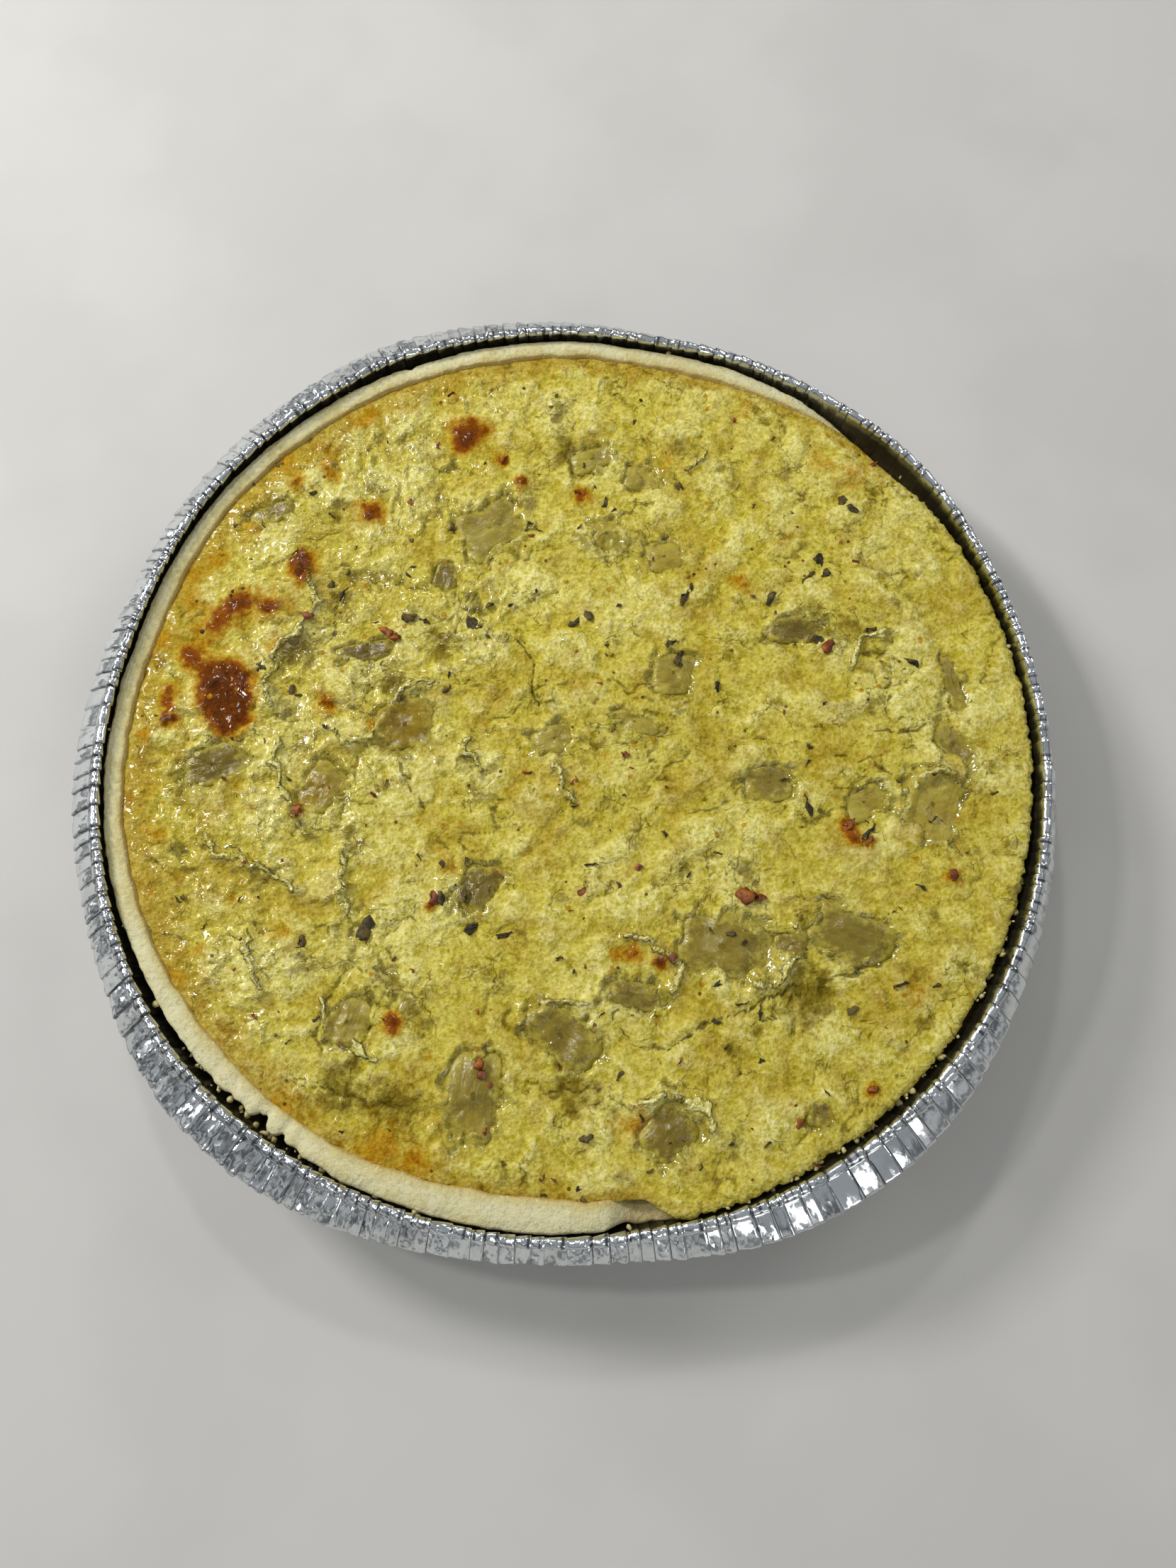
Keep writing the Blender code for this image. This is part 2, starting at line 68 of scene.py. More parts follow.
# Marks on the skin, four numbers each: x, y, radius and strength, or x, y, length and turn.
Spots = tuple[tuple[float, float, float, float], ...]
Tree = bpy.types.NodeTree
Socket = bpy.types.NodeSocket
Material = bpy.types.Material


class Slot(Enum):
    """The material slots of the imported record."""

    FOIL = "foil"
    PASTRY = "pastry"
    FILLING = "filling"
    ONION = "onion"


def to_linear(colour: str) -> tuple[float, float, float, float]:
    """Turn an sRGB colour into the linear one that a shader takes.

    Args:
        colour: Six hexadecimal digits.

    Returns:
        Red, green, blue and an alpha of 1.
    """
    parts = []
    for start in (0, 2, 4):
        value = int(colour[start:start + 2], 16) / 255.0
        parts.append(value / 12.92 if value <= 0.04045 else ((value + 0.055) / 1.055) ** 2.4)
    return (*parts, 1.0)


def feed(tree: Tree, node: bpy.types.Node, links: dict) -> None:
    """Set a node's inputs.

    Args:
        tree: The node's tree.
        node: The node.
        links: For each input, by name or number, a value or the socket that feeds it.
    """
    for socket, value in links.items():
        target = node.inputs[socket]
        if isinstance(value, bpy.types.NodeSocket):
            tree.links.new(value, target)
        else:
            target.default_value = value


def add_node(
    tree: Tree, kind: str, settings: dict | None = None, links: dict | None = None,
) -> bpy.types.Node:
    """Add a node to a tree.

    Args:
        tree: The node tree.
        kind: The node's Blender type.
        settings: Values of the node's own properties.
        links: For each input, by name or number, a value or the socket that feeds it.

    Returns:
        The new node.
    """
    node = tree.nodes.new(kind)
    for name, value in (settings or {}).items():
        setattr(node, name, value)
    feed(tree, node, links or {})
    return node


def ramp(value: Values, low: Values, high: Values) -> Values:
    """0 below low, 1 above high and smooth between, for a number or an array."""
    share = np.clip((value - low) / (high - low), 0.0, 1.0)
    return share * share * (3.0 - 2.0 * share)


def mix(low: Values, high: Values, share: Values) -> Values:
    """The value that lies a share of the way from low to high."""
    return low + (high - low) * share


class Grain:
    """Smooth random heights over a plane, the same each time for a seed."""

    def __init__(self, seed: int) -> None:
        """Draw the slopes of a square lattice.

        Args:
            seed: The seed of the draw.
        """
        self.count = 256
        turns = np.random.default_rng(seed).uniform(0.0, math.tau, (self.count, self.count))
        self.across = np.cos(turns)
        self.up = np.sin(turns)

    def at(self, x: Values, y: Values, size: float) -> np.ndarray:
        """The height at each place, from about -1 to 1.

        Args:
            x: Places across.
            y: Places up.
            size: The size of one bump, in the places' own unit.

        Returns:
            An array of heights.
        """
        u, v = np.asarray(x) / size, np.asarray(y) / size
        i, j = np.floor(u).astype(int), np.floor(v).astype(int)
        u, v = u - i, v - j
        fade_u, fade_v = (w * w * w * (w * (w * 6.0 - 15.0) + 10.0) for w in (u, v))
        rows = []
        for step_j in (0, 1):
            ends = []
            for step_i in (0, 1):
                here = (i + step_i) % self.count, (j + step_j) % self.count
                ends.append(self.across[here] * (u - step_i) + self.up[here] * (v - step_j))
            rows.append(mix(ends[0], ends[1], fade_u))
        return 1.5 * mix(rows[0], rows[1], fade_v)

    def layered(
        self, x: Values, y: Values, size: float, layers: int = 3, keep: float = 0.5,
    ) -> np.ndarray:
        """Several heights added up, each half the size of the one before.

        Args:
            x: Places across.
            y: Places up.
            size: The size of the largest bumps.
            layers: How many heights are added.
            keep: The strength of each as a share of the one before.

        Returns:
            An array of heights.
        """
        total, strength = 0.0, 1.0
        for layer in range(layers):
            total = total + strength * self.at(x + 31.7 * layer, y - 17.3 * layer, size)
            size, strength = size / 2.0, strength * keep
        return total


class MeshMaker:
    """Collects points and faces and turns them into one smooth piece."""

    def __init__(self) -> None:
        """Start with nothing."""
        self.points: list[np.ndarray] = []
        self.quads: list[np.ndarray] = []
        self.triangles: list[np.ndarray] = []
        self.count = 0

    def add_points(self, points: np.ndarray) -> np.ndarray:
        """Add points in metres.

        Args:
            points: An array whose last side is x, y and z.

        Returns:
            Their numbers, in the shape of the array.
        """
        shape = points.shape[:-1]
        self.points.append(points.reshape(-1, 3))
        amount = int(np.prod(shape))
        numbers = np.arange(self.count, self.count + amount).reshape(shape)
        self.count += amount
        return numbers

    def skin(self, numbers: np.ndarray, closed: bool = True) -> None:
        """Join rows of points with quads.

        Args:
            numbers: Rows by columns. Seen from outside, rows go up and columns go left to right.
            closed: Whether the last column joins the first.
        """
        if closed:
            numbers = np.concatenate([numbers, numbers[:, :1]], axis=1)
        low, high = numbers[:-1], numbers[1:]
        faces = np.stack([low[:, :-1], low[:, 1:], high[:, 1:], high[:, :-1]], axis=-1)
        self.quads.append(faces.reshape(-1, 4))

    def fan(self, ring: np.ndarray, centre: np.ndarray, flipped: bool = False) -> None:
        """Close a ring of points with triangles to one point.

        Args:
            ring: The ring's point numbers, anticlockwise seen from outside.
            centre: The middle point, in metres.
            flipped: Whether the ring is clockwise seen from outside.
        """
        middle = self.add_points(np.asarray(centre, dtype=float).reshape(1, 3))[0]
        after = np.roll(ring, -1)
        pair = (after, ring) if flipped else (ring, after)
        self.triangles.append(np.stack([*pair, np.full(len(ring), middle)], axis=-1))

    def finish(
        self, name: str, material: Material, fields: dict[str, np.ndarray] | None = None,
    ) -> bpy.types.Object:
        """Make the object.

        Args:
            name: Its name.
            material: Its one material.
            fields: Values at the first points, by attribute name; the rest are 0.

        Returns:
            The new object, at the origin.
        """
        mesh = bpy.data.meshes.new(name)
        points = np.concatenate(self.points).astype(np.float32)
        quads = np.concatenate(self.quads) if self.quads else np.zeros((0, 4), int)
        triangles = np.concatenate(self.triangles) if self.triangles else np.zeros((0, 3), int)
        corners = np.concatenate([quads.ravel(), triangles.ravel()]).astype(np.int32)
        starts = np.concatenate([
            np.arange(0, quads.size, 4), quads.size + np.arange(0, triangles.size, 3),
        ]).astype(np.int32)
        mesh.vertices.add(len(points))
        mesh.vertices.foreach_set("co", points.ravel())
        mesh.loops.add(len(corners))
        mesh.loops.foreach_set("vertex_index", corners)
        mesh.polygons.add(len(starts))
        mesh.polygons.foreach_set("loop_start", starts)
        mesh.update(calc_edges=True)
        mesh.validate()
        for field_name, values in (fields or {}).items():
            layer = mesh.attributes.new(field_name, "FLOAT", "POINT")
            padded = np.zeros(len(points), dtype=np.float32)
            padded[:values.size] = values.ravel()
            layer.data.foreach_set("value", padded)
        mesh.shade_smooth()
        mesh.materials.append(material)
        piece = bpy.data.objects.new(name, mesh)
        bpy.context.scene.collection.objects.link(piece)
        return piece


def dress(piece: bpy.types.Object, nodes: tuple[str, ...] = ()) -> None:
    """Fix a piece to the tart's body and what it stands for, and report it.

    Args:
        piece: The finished object.
        nodes: The CAD nodes that it replaces.
    """
    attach(piece, BODY)
    if nodes:
        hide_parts(*nodes)
    faces = sum(len(face.vertices) - 2 for face in piece.data.polygons)
    log.info("%s: %d triangles, replaces %s", piece.name, faces, ", ".join(nodes) or "nothing")


@dataclass(frozen=True)
class TartPlan:
    """The tart's shared sizes and curves, the same as in the part's source."""

    centre: tuple[float, float] = (0.28, -0.64)
    tray_height: float = 27.0
    base_radius: float = 81.5
    shoulder_height: float = 22.0
    shoulder_radius: float = 92.7
    ridge: float = 93.1
    foil: float = 0.5
    lean: float = 50.0
    crust: float = 92.0
    crust_top: float = 24.0
    crust_low: float = 21.0
    fit_gap: float = 0.3
    rim_width: float = 3.5
    level: float = 23.7
    # Half the depth of a pleat in the solid foil.
    pleat_depth: float = 0.42
    # The angles between which the pastry's rim rises out of the filling and sinks into it again,
    # and between which it begins and stops to hold the filling.
    rim_rises: tuple[float, float] = (45.0, 58.5)
    rim_sinks: tuple[float, float] = (274.5, 279.0)
    hold_begins: tuple[float, float] = (31.5, 45.0)
    hold_stops: tuple[float, float] = (279.0, 283.5)
    # Hills and dips round the tray: angle, half width in degrees and height.
    ridge_shifts: tuple = (
        (40, 14, 1.3), (78, 7, -0.9), (113, 9, 0.9), (165, 17, -1.6),
        (219, 20, 1.7), (279, 7, -0.7), (325, 34, 1.5),
    )
    lean_shifts: tuple = (
        (10, 35, 8), (50, 12, 5), (118, 28, -16), (180, 22, -9),
        (232, 19, -30), (268, 13, 8), (304, 19, -33),
    )
    width_shifts: tuple = ((48, 12, -2.1), (224, 16, 0.7), (262, 20, 2.3))

    def shifted(self, value: float, angle: Values, shifts: tuple) -> Values:
        """Add hills and dips round the tray to a value.

        Args:
            value: The plain value.
            angle: Angles.
            shifts: For each hill its angle, its half width in degrees and its height.

        Returns:
            The value at each angle.
        """
        total = value + 0.0 * angle
        for middle, width, size in shifts:
            gap = (angle - middle + 180.0) % 360.0 - 180.0
            total = total + size * np.exp(-((gap / width) ** 2))
        return total

    def ridge_radius(self, angle: Values) -> Values:
        """Radius of the foil's highest line."""
        return self.shifted(self.ridge, angle, self.ridge_shifts)

    def wall_radius(self, angle: Values, height: Values) -> Values:
        """Find the middle of the foil's wall.

        Args:
            angle: Angles.
            height: Heights above the table.

        Returns:
            Its radius at each place.
        """
        lower = mix(self.base_radius, self.shoulder_radius, height / self.shoulder_height)
        above = (height - self.shoulder_height) / (self.tray_height - self.shoulder_height)
        upper = mix(self.shoulder_radius, self.ridge, above)
        plain = np.where(height < self.shoulder_height, lower, upper)
        return plain + (self.ridge_radius(angle) - self.ridge) * (height / self.tray_height) ** 2

    def rim_shown(self, angle: Values) -> Values:
        """1 where the pastry's rim stands high, 0 where the filling covers it."""
        return ramp(angle, *self.rim_rises) * (1.0 - ramp(angle, *self.rim_sinks))

    def filling_held(self, angle: Values) -> Values:
        """1 where the filling stops at the rim, 0 where it runs over the case."""
        return ramp(angle, *self.hold_begins) * (1.0 - ramp(angle, *self.hold_stops))

    def crust_radius(self, angle: Values) -> Values:
        """Outer radius of the pastry at its top."""
        wall = self.wall_radius(angle, self.crust_top) - self.foil / 2
        return np.minimum(self.crust, wall - self.pleat_depth - 1.3 * self.fit_gap)

    def rim_inside(self, angle: Values) -> Values:
        """Radius where the pastry's rim meets the filling."""
        return self.crust_radius(angle) - self.shifted(self.rim_width, angle, self.width_shifts)

    def filling_radius(self, angle: Values) -> Values:
        """Radius of the filling's top."""
        inside = self.rim_inside(angle)
        return mix(self.crust_radius(angle) - self.fit_gap, inside, self.filling_held(angle))

    def place(self, x: Values, y: Values, height: Values) -> np.ndarray:
        """Points in metres from places about the tart's middle, in millimetres."""
        x, y, height = np.broadcast_arrays(x, y, height)
        return MM * np.stack([x + self.centre[0], y + self.centre[1], height], axis=-1)

    def turned(self, angle: Values, radius: Values, height: Values) -> np.ndarray:
        """Points in metres from angles, radii and heights."""
        turn = np.radians(angle)
        return self.place(radius * np.cos(turn), radius * np.sin(turn), height)


@dataclass(frozen=True)
class OnionCut:
    """One soft piece of onion: its place, size, turn and the look of its flesh."""

    number: int
    x: float
    y: float
    length: float
    width: float
    turn: float
    golden: float = 0.3
    dark: float = 0.4
    hidden: float = 0.3
    spread: float = 1.12

    def local(self, x: Values, y: Values) -> tuple[Values, Values]:
        """See places along the piece.

        Args:
            x: Places across.
            y: Places up.

        Returns:
            Each place as shares of the piece's half length and half width.
        """
        turn = math.radians(self.turn)
        along = (x - self.x) * math.cos(turn) + (y - self.y) * math.sin(turn)
        side = (y - self.y) * math.cos(turn) - (x - self.x) * math.sin(turn)
        return along / (self.length / 2), side / (self.width / 2)

    def edge(self, turn: Values) -> Values:
        """Find how far the outline reaches, its corners rounded.

        Args:
            turn: Directions along the piece, in radians.

        Returns:
            The reach in each direction, 1 at the piece's half length or half width.
        """
        dice = random.Random(7 + self.number)
        corners = [dice.uniform(0.76, 1.08) for _ in range(9)]
        steps = np.linspace(0.0, math.tau, 10)
        uneven = np.interp(np.mod(turn, math.tau), steps, [*corners, corners[0]])
        square = np.abs(np.cos(turn)) ** 4 + np.abs(np.sin(turn)) ** 4
        return self.spread * uneven * square ** (-1 / 4)

    def distance(self, x: Values, y: Values) -> Values:
        """0 at the middle of the piece, 1 at its edge and more outside."""
        along, side = self.local(x, y)
        return np.hypot(along, side) / self.edge(np.arctan2(side, along))


ONIONS: tuple[OnionCut, ...] = tuple(
    OnionCut(number, *row) for number, row in enumerate((
        (-16.5, 47, 15, 11, 30, 0.2, 0.2, 0.35), (-25.5, 36.5, 6.5, 5, 80, 0.1, 0.7, 0.3),
        (5, 63.5, 9, 5.5, 20, 0.0, 0.4, 0.5), (15.5, 59, 8, 6, 0, 0.0, 0.3, 0.6),
        (8, 45.5, 7, 6.5, 90, 0.2, 0.2, 0.5), (20, 40.5, 9, 7, 10, 0.5, 0.1, 0.5),
        (21.5, 15, 9.5, 8.5, 0, 0.3, 0.3, 0.4), (13.5, 4.5, 9, 5, -10, 0.1, 0.4, 0.5),
        (-2.5, 1, 9, 6, 15, 0.2, 0.3, 0.5), (46.5, 24, 11, 5.5, -5, 0.1, 0.8, 0.3),
        (40, -8, 10, 8, 0, 0.0, 0.5, 0.3), (78, 13, 12, 3.6, 100, 0.3, 0.4, 0.4),
        (77, 0, 10, 4.5, -50, 0.2, 0.6, 0.4), (72, -12.5, 14, 11.5, 70, 0.4, 0.2, 0.5),
        (58.5, -12, 9, 7.5, 20, 0.3, 0.3, 0.5), (29.5, -40.5, 17, 12, -20, 0.2, 0.4, 0.2),
        (54.5, -38.5, 16, 10, -20, 0.1, 0.5, 0.3), (43, -40, 6, 5, 0, 0.1, 0.6, 0.4),
        (13, -49.5, 11, 6, -10, 0.3, 0.5, 0.3), (-1, -57, 15, 8.5, -40, 0.2, 0.4, 0.1),
        (-17, -68, 18, 11, 85, 0.2, 0.3, 0.15), (19, -74.5, 11, 9, 45, 0.3, 0.6, 0.15),
        (46.5, -71, 5.5, 5, 0, 0.2, 0.7, 0.4), (-41, -54.5, 11, 8, 70, 0.2, 0.2, 0.4),
        (-17, -29, 10, 8, 70, 0.0, 0.7, 0.2), (-32.5, 4, 11, 10, 0, 0.9, 0.3, 0.1),
        (-41, 19.5, 12, 4.2, 10, 0.1, 0.9, 0.2), (-70, -4.5, 13, 7, 25, 0.1, 0.7, 0.2),
        (-48, -9, 10, 8, 60, 0.7, 0.3, 0.4), (-62, 50.5, 10, 4.5, 25, 0.1, 0.6, 0.4),
    ), start=1)
)

# Places on the skin, x, y, radius and strength.
BROWNED: Spots = (
    (-20.8, 69.3, 4.6, 1), (-23.5, 67, 3.2, 0.5), (-41.3, 50.5, 3.2, 1.05), (-54.7, 39.2, 3.1, 1),
    (-55.2, 35.6, 2.6, 0.7), (-60.8, 29.1, 3.2, 0.95), (-66.7, 30.8, 3, 0.8),
    (-69.2, 27.6, 3.2, 0.85), (-73, 24.1, 3.2, 0.8), (-76.6, 18.4, 2.9, 1),
    (-70.6, 13.4, 4.6, 1.15), (-66.8, 12.8, 3.8, 0.95), (-69.6, 8, 4.2, 1.15),
    (-67.5, 3.9, 2.8, 1.15), (-66.2, 7.6, 3.4, 0.8), (-80.5, 11.4, 2.2, 0.85), (-79.3, 5.2, 2.1, 1),
    (-80.2, 8.4, 1.8, 0.6), (-48.7, 8.8, 2.7, 0.72), (-51.4, 63.5, 3.4, 0.55),
    (-61, 62.6, 3.6, 0.6), (-43.6, 72.9, 3.8, 0.5), (2.6, 54.3, 2.2, 0.95), (-9.7, 57.3, 1.9, 0.85),
    (-14, 63, 1.6, 1), (21.3, 62.6, 3, 0.45), (35.3, 34.5, 3.4, 0.5), (60.6, 59.6, 4, 0.45),
    (54.9, -16.9, 2.2, 1), (56.2, -19.6, 1.7, 0.8), (59.1, -20.2, 1.3, 0.9),
    (74.9, -26.6, 1.9, 0.9), (13.2, -42, 2.1, 0.95), (17.6, -43.4, 1.5, 1.2),
    (9.8, -42.2, 2.2, 0.5), (-32.2, -54.9, 2.3, 1.15), (-52.6, -14.2, 1.7, 0.95),
    (-25.9, -32.9, 1.3, 0.9), (-38.6, 3.6, 1.6, 0.75), (34.6, -31, 1.5, 0.9), (37, -30.6, 1.2, 0.8),
    (11.7, -74.7, 3.2, 0.5), (14, -72.4, 2, 0.4), (56.7, -66.9, 1.5, 0.8), (-54.9, -37.3, 3, 0.45),
    (-23.7, -24.6, 3, 0.4), (-51.5, -69.6, 3.4, 0.42), (-33.3, -77, 4.6, 0.6),
    (-26, -79.4, 3.4, 0.55), (-73, -47, 2.6, 0.4), (-78, 36, 3.4, 0.45), (-83, 22, 3.2, 0.5),
    (-60, 20.5, 3, 0.4), (-47, 6, 2.2, 0.4), (3, -9, 1.6, 0.3), (8, -3.6, 1.8, 0.4),
    (66.5, -48, 2.6, 0.35), (45, 45, 3, 0.3), (-33, 27.5, 2, 0.35), (-25.5, 79.5, 3.6, 0.42),
    (-15.5, 82.5, 2.6, 0.3), (38, 76, 3.2, 0.42), (53, 62, 3.6, 0.45), (-66, 46, 3, 0.42),
    (-57.5, 57, 2.4, 0.62), (-50, 59, 2.2, 0.5), (-72.5, 40, 2.8, 0.5), (-77, 30, 2.6, 0.5),
    (-84, 2, 2.4, 0.42), (-82.5, -10, 2.6, 0.42), (-79.5, -19, 2.8, 0.45), (-76, -27.5, 2.4, 0.42),
    (-70, -40.5, 2.6, 0.42), (-62, -13, 2.2, 0.35), (-64.5, -31, 2, 0.32), (67, -30, 4.2, 0.3),
    (60, -3, 2.8, 0.28), (20, -14, 2.4, 0.28), (77, -22, 2.6, 0.28), (49, -70, 3, 0.28),
    (63, -52, 3.2, 0.26),
)
# Pools of purer yellow, where the egg is richest.
YELLOW: Spots = (
    (-8, 30, 9, 1), (-22, 57, 8, 0.9), (4, 24, 8, 0.8), (38, 44, 12, 1), (42, 10, 12, 0.8),
    (82, 20, 8, 1), (-18, 12, 10, 0.6), (-28, 79, 8, 0.7), (70, 40, 10, 0.6), (-72, -14, 6, 0.9),
    (-6, -60, 5, 0.4), (24, -24, 12, 0.5), (-62, -50, 8, 0.6), (30, 22, 8, 0.6), (-30, -64, 9, 0.5),
    (-76, -30, 7, 0.5), (-40, 64, 6, 0.5), (10, 70, 7, 0.5),
)
# Thin places where onion, herbs or air show through as a greener haze, and painted shade along the
# folds.
HAZE: Spots = (
    (-55, 20, 5, 0.9), (-34.8, 12.1, 4, 0.9), (-46.1, 29.7, 4, 0.8), (-48.6, 50.5, 4.5, 0.7),
    (-62, 52, 5, 0.7), (-25, 20, 6, 0.6), (-6, 8, 5, 0.5), (4, 0, 5, 0.6), (28, 2, 5, 0.5),
    (0, 66, 6, 0.7), (24, 66, 5, 0.6), (60, 24, 6, 0.6), (-11, 28, 4, 0.5), (47, -47, 5, 0.6),
    (66, -46, 3, 0.7), (75, -40, 3, 0.6), (44, -52, 6, 0.6), (2, -67, 6, 0.7), (-42, -67, 7, 0.8),
    (-30, -69, 5, 0.8), (-12, -46, 4, 0.4), (-58, -26, 6, 0.5), (-50, -44, 4, 0.6),
    (-66, -58, 4, 0.6), (-20, -33, 5, 0.5), (-36, -9, 4, 0.5), (-76, -8, 4, 0.6), (70, 30, 5, 0.5),
    (56, 8, 4, 0.5), (10, -82, 4, 0.5), (30, -76, 5, 0.5), (62, -60, 4, 0.4), (85, -6, 4, 0.5),
    (34, 60, 6, 0.4),
)
# Deep folds in the skin: half width, depth and points.
FOLDS: tuple[tuple[float, float, tuple], ...] = (
    (0.5, 0.9, ((-13, 24), (-9.5, 22), (-6.5, 17), (-7.5, 12), (-4.5, 5.5))),
    (0.5, 0.9, ((56, 19.5), (62, 19), (65.5, 16), (64, 7), (66, 3))),
    (0.5, 1.2, ((9.5, -61.4), (19, -59), (26.5, -55), (34, -52.5), (41.5, -48.5), (48, -47))),
    (0.6, 1.1, ((-56, -64.5), (-45, -66.5), (-36, -69.5), (-25, -70))),
    (0.6, 0.9, ((-48, 32), (-47, 25), (-51, 20))),
    (0.6, 0.8, ((-68, -21), (-61, -23), (-54.9, -27.8))),
    (0.5, 0.7, ((-35, -3), (-31, -8), (-29, -13), (-27, -16))),
    (0.5, 0.7, ((-35, -3), (-38, -9), (-36, -12))),
    (0.6, 0.8, ((-5, -67.2), (2, -67), (8, -66.7))),
    (0.5, 0.8, ((17, -62), (13, -58), (9, -55), (10, -50))),
    (0.6, 0.7, ((-40, -42), (-44, -49), (-47, -56), (-44, -63))),
    (0.5, 0.6, ((34, -54), (43, -50), (52, -46), (60, -44), (66, -36))),
    (0.5, 0.6, ((58, 3), (68, 2), (74, 4))),
    (0.5, 0.6, ((50, -3), (60, -3), (66, -8), (68, -16))),
)
# Raised, wet folds of the skin: half width, rise and points.
RIDGES: tuple[tuple[float, float, tuple], ...] = (
    (1.3, 1.0, ((-73, -16), (-68, -22), (-61, -25), (-54, -28), (-50, -31))),
    (1.2, 0.9, ((-56, 5), (-58, -4), (-55, -12), (-51, -18), (-48, -20))),
    (1.2, 0.8, ((-43, -20), (-43, -28), (-42, -36))),
    (1.1, 0.7, ((-61, -36), (-60, -43), (-57, -50))),
    (1.4, 1.0, ((-58, 43), (-51, 30), (-58, 20), (-61, 12), (-59, 5))),
    (1.4, 1.0, ((-50, 5), (-44, 0), (-39, 0.5), (-37, 5), (-32, 12), (-22, 13))),
    (1.0, 0.7, ((-20, 3), (-20, -3), (-15, -6))),
    (1.1, 0.7, ((-3, -3), (-1, -9), (2, -13))),
    (1.3, 0.9, ((9, -39), (13, -38.6), (17, -41), (22, -44), (19, -52))),
    (1.2, 0.8, ((44, -34), (45, -41), (40, -47), (33, -49))),
    (1.3, 0.9, ((66, -18), (67, -10), (73, -5), (78, -9))),
    (1.1, 0.7, ((-47, -48), (-44, -56), (-38, -60), (-33, -62))),
    (1.2, 0.8, ((-10, -57), (-2, -50.5), (6, -52))),
    (1.0, 0.6, ((24, 60), (28, 62), (30, 66))),
    (1.1, 0.6, ((56, 14), (60, 22), (68, 24))),
    (1.1, 0.7, ((12, -70), (18, -68), (26, -70), (28, -76))),
)


def line_distance(
    x: np.ndarray, y: np.ndarray, points: tuple,
) -> tuple[np.ndarray, np.ndarray]:
    """Distance from each place to a line of points.

    Args:
        x: Places across.
        y: Places up.
        points: The line's points.

    Returns:
        The distance, and how far along the line the nearest point is, from 0 to 1.
    """
    best = np.full(np.shape(x), 1e9)
    share = np.zeros(np.shape(x))
    last = len(points) - 1
    for here in range(last):
        (ax, ay), (bx, by) = points[here], points[here + 1]
        run_x, run_y = bx - ax, by - ay
        along = np.clip(((x - ax) * run_x + (y - ay) * run_y) / (run_x**2 + run_y**2), 0.0, 1.0)
        apart = np.hypot(x - ax - along * run_x, y - ay - along * run_y)
        nearer = apart < best
        best = np.where(nearer, apart, best)
        share = np.where(nearer, (here + along) / last, share)
    return best, share


def spotted(x: np.ndarray, y: np.ndarray, spots: Spots) -> np.ndarray:
    """Add up soft round spots.

    Args:
        x: Places across.
        y: Places up.
        spots: The spots.

    Returns:
        The value at each place.
    """
    total = np.zeros(np.shape(x))
    for spot_x, spot_y, radius, strength in spots:
        total += strength * np.exp(-(((x - spot_x) ** 2 + (y - spot_y) ** 2) / radius**2))
    return total


